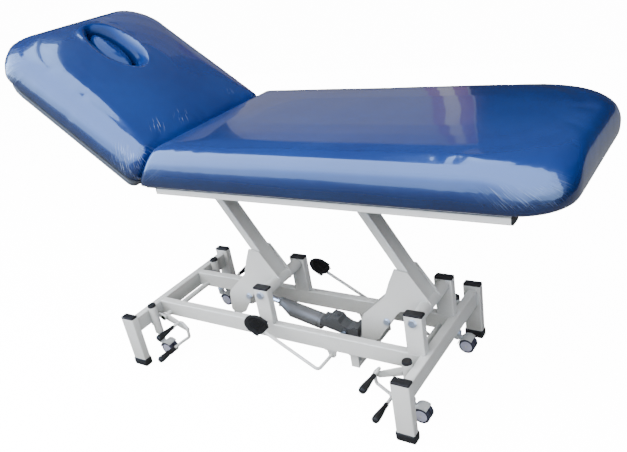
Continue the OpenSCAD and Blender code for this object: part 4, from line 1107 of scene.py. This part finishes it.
def leverBar():
    # drawn for the foot end, about the shaft's middle
    s = lever
    end = s["side"] + s["cheek"]
    x, z = s["throw"] * math.cos(s["rise"]), s["throw"] * math.sin(s["rise"])
    shaft = hullOutline([(0.0, 0.0, s["shaftRadius"])])
    cheek = hullOutline([(0.0, 0.0, s["hub"]), (x, z, s["crankEnd"])])
    pin = hullOutline([(x, z, s["pin"])], 24)
    parts = [plateAcross("shaft", shaft, -end, end, 0.0010)]
    rodEnd = s["gripFrom"] + s["gripLong"] - s["rodShort"]
    for side in (1, -1):
        way = [(s["reach"] * x, side * s["side"], s["reach"] * z) for x, z in s["bends"]]
        tips = [(way[k][0], side * rodEnd, way[k][2]) for k in (0, -1)]
        parts.append(bentRod("rod", [tips[0], *way, tips[1]], s["rodRadius"]))
        parts.append(plateAcross("arm", hullOutline(s["arm"]), side * s["armFrom"],
                                 side * s["armTo"]))
        parts.append(plateAcross("cheek", cheek, side * s["side"], side * end))
        parts.append(plateAcross("pin", pin, side * s["side"], side * s["pinOut"], 0.0005))
    return joinPieces("leverBar", parts, finishes["white_enamel"])


def leverGrips():
    s = lever
    rings = []
    steps = 60
    for along, share in smoothRow(s["grip"], 4):
        flute = s["fluteDepth"] * step(*s["fluteFrom"], along) * (1 - step(*s["fluteTo"], along))
        ring = []
        for k in range(steps):
            angle = 2 * math.pi * k / steps
            wave = 0.5 - 0.5 * math.cos(s["flutes"] * angle)
            radius = s["gripRadius"] * share * (1 - flute * wave)
            ring.append((radius * math.cos(angle), along * s["gripLong"],
                         -radius * math.sin(angle)))
        rings.append(ring)
    grip = loftRings("leverGrip", rings)
    grips = []
    for side in (1, -1):
        for k in (0, -1):
            x, z = (s["reach"] * share for share in s["bends"][k])
            turn = Matrix.Rotation(0.0 if side > 0 else math.pi, 4, "Z")
            place = Matrix.Translation((x, side * s["gripFrom"], z))
            grips.append(copyPiece(grip, "grip", place @ turn))
    bpy.data.objects.remove(grip)
    return joinPieces("leverGrips", grips, finishes["black_plastic"])


def makeLevers():
    s = lever
    for piece, node, slot in ((leverBar(), "lift_bar", "white_enamel"),
                              (leverGrips(), "lift_grips", "black_plastic")):
        for end, sign in (("foot", 1), ("head", -1)):
            flip = Matrix.Diagonal((sign, 1, 1, 1))
            place = Matrix.Translation((sign * s["shaftX"] + couch["baseX"], 0, s["shaftZ"]))
            twin = copyPiece(piece, end + piece.name[:1].upper() + piece.name[1:], place @ flip,
                             flip=sign < 0)
            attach(twin, end + "_castor_lever")
            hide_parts(f"{end}_{node}")
        bpy.data.objects.remove(piece)
    print("castor levers: 2, grips: 8")


def makePedalBar():
    s = pedal
    x, z = s["shaftX"] + couch["baseX"], s["shaftZ"]
    shaft = [(x + a, z + b) for a, b in hullOutline([(0, 0, s["shaftRadius"])], 32)]
    parts = [plateAcross("shaft", shaft, -s["shaftHalf"], s["shaftHalf"], 0.0006)]
    for sign in (1, -1):
        way = [(x, sign * s["rodFrom"], z), (x, sign * s["side"], z),
               (x - s["rodRun"], sign * s["side"], z + s["rodRise"])]
        parts.append(bentRod("rod", way, lever["rodRadius"]))
    bar = joinPieces("pedalBar", parts, finishes["white_enamel"])
    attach(bar, "pedals")
    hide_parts("pedal_bar")
    print("pedal bar:", len(bar.data.polygons), "faces")


feet = {
    "x": 0.559, "y": 0.285, "width": 0.066, "depth": 0.036, "corner": 0.007, "tightest": 0.0025,
    # inset and height, up the outside, over the lip and down into the socket
    "shell": [(0.0066, 0.0), (0.0038, 0.0006), (0.0020, 0.0022), (0.0008, 0.0050), (0.0, 0.0100),
              (-0.0005, 0.0170), (-0.0004, 0.0240), (0.0, 0.0295), (0.0006, 0.0312),
              (0.0016, 0.0320), (0.0026, 0.0318), (0.0029, 0.0308), (0.0029, 0.0122)],
}


def roundedRing(width, depth, radius, z, steps=6):
    ring = []
    for quarter, (sx, sy) in enumerate(((1, 1), (-1, 1), (-1, -1), (1, -1))):
        for i in range(steps + 1):
            angle = math.radians(90 * quarter + 90 * i / steps)
            ring.append((sx * (width / 2 - radius) + radius * math.cos(angle),
                         sy * (depth / 2 - radius) + radius * math.sin(angle), z))
    return ring


def makeFeet():
    s = feet
    rings = [roundedRing(s["width"] - 2 * e, s["depth"] - 2 * e,
                         max(s["corner"] - e, s["tightest"]), z) for e, z in s["shell"]]
    boots = []
    for sx in (1, -1):
        for sy in (1, -1):
            boot = loftRings("boot", rings)
            boot.data.transform(Matrix.Translation((sx * s["x"] + couch["baseX"], sy * s["y"], 0)))
            boots.append(boot)
    boot = joinPieces("rubberBoots", boots, finishes["black_rubber"])
    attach(boot, "base")
    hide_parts("rubber_feet")
    print("rubber boots: 4")


placeCamera()
lightStudio()
hangBoards()
layFloor()
dressNodes()
print("finishes on", len(nodes), "nodes")
makeMainPad()
makeHeadPad()
makeSlotPad()
makeWheels()
makePedalPads()
makeLevers()
makePedalBar()
makeFeet()
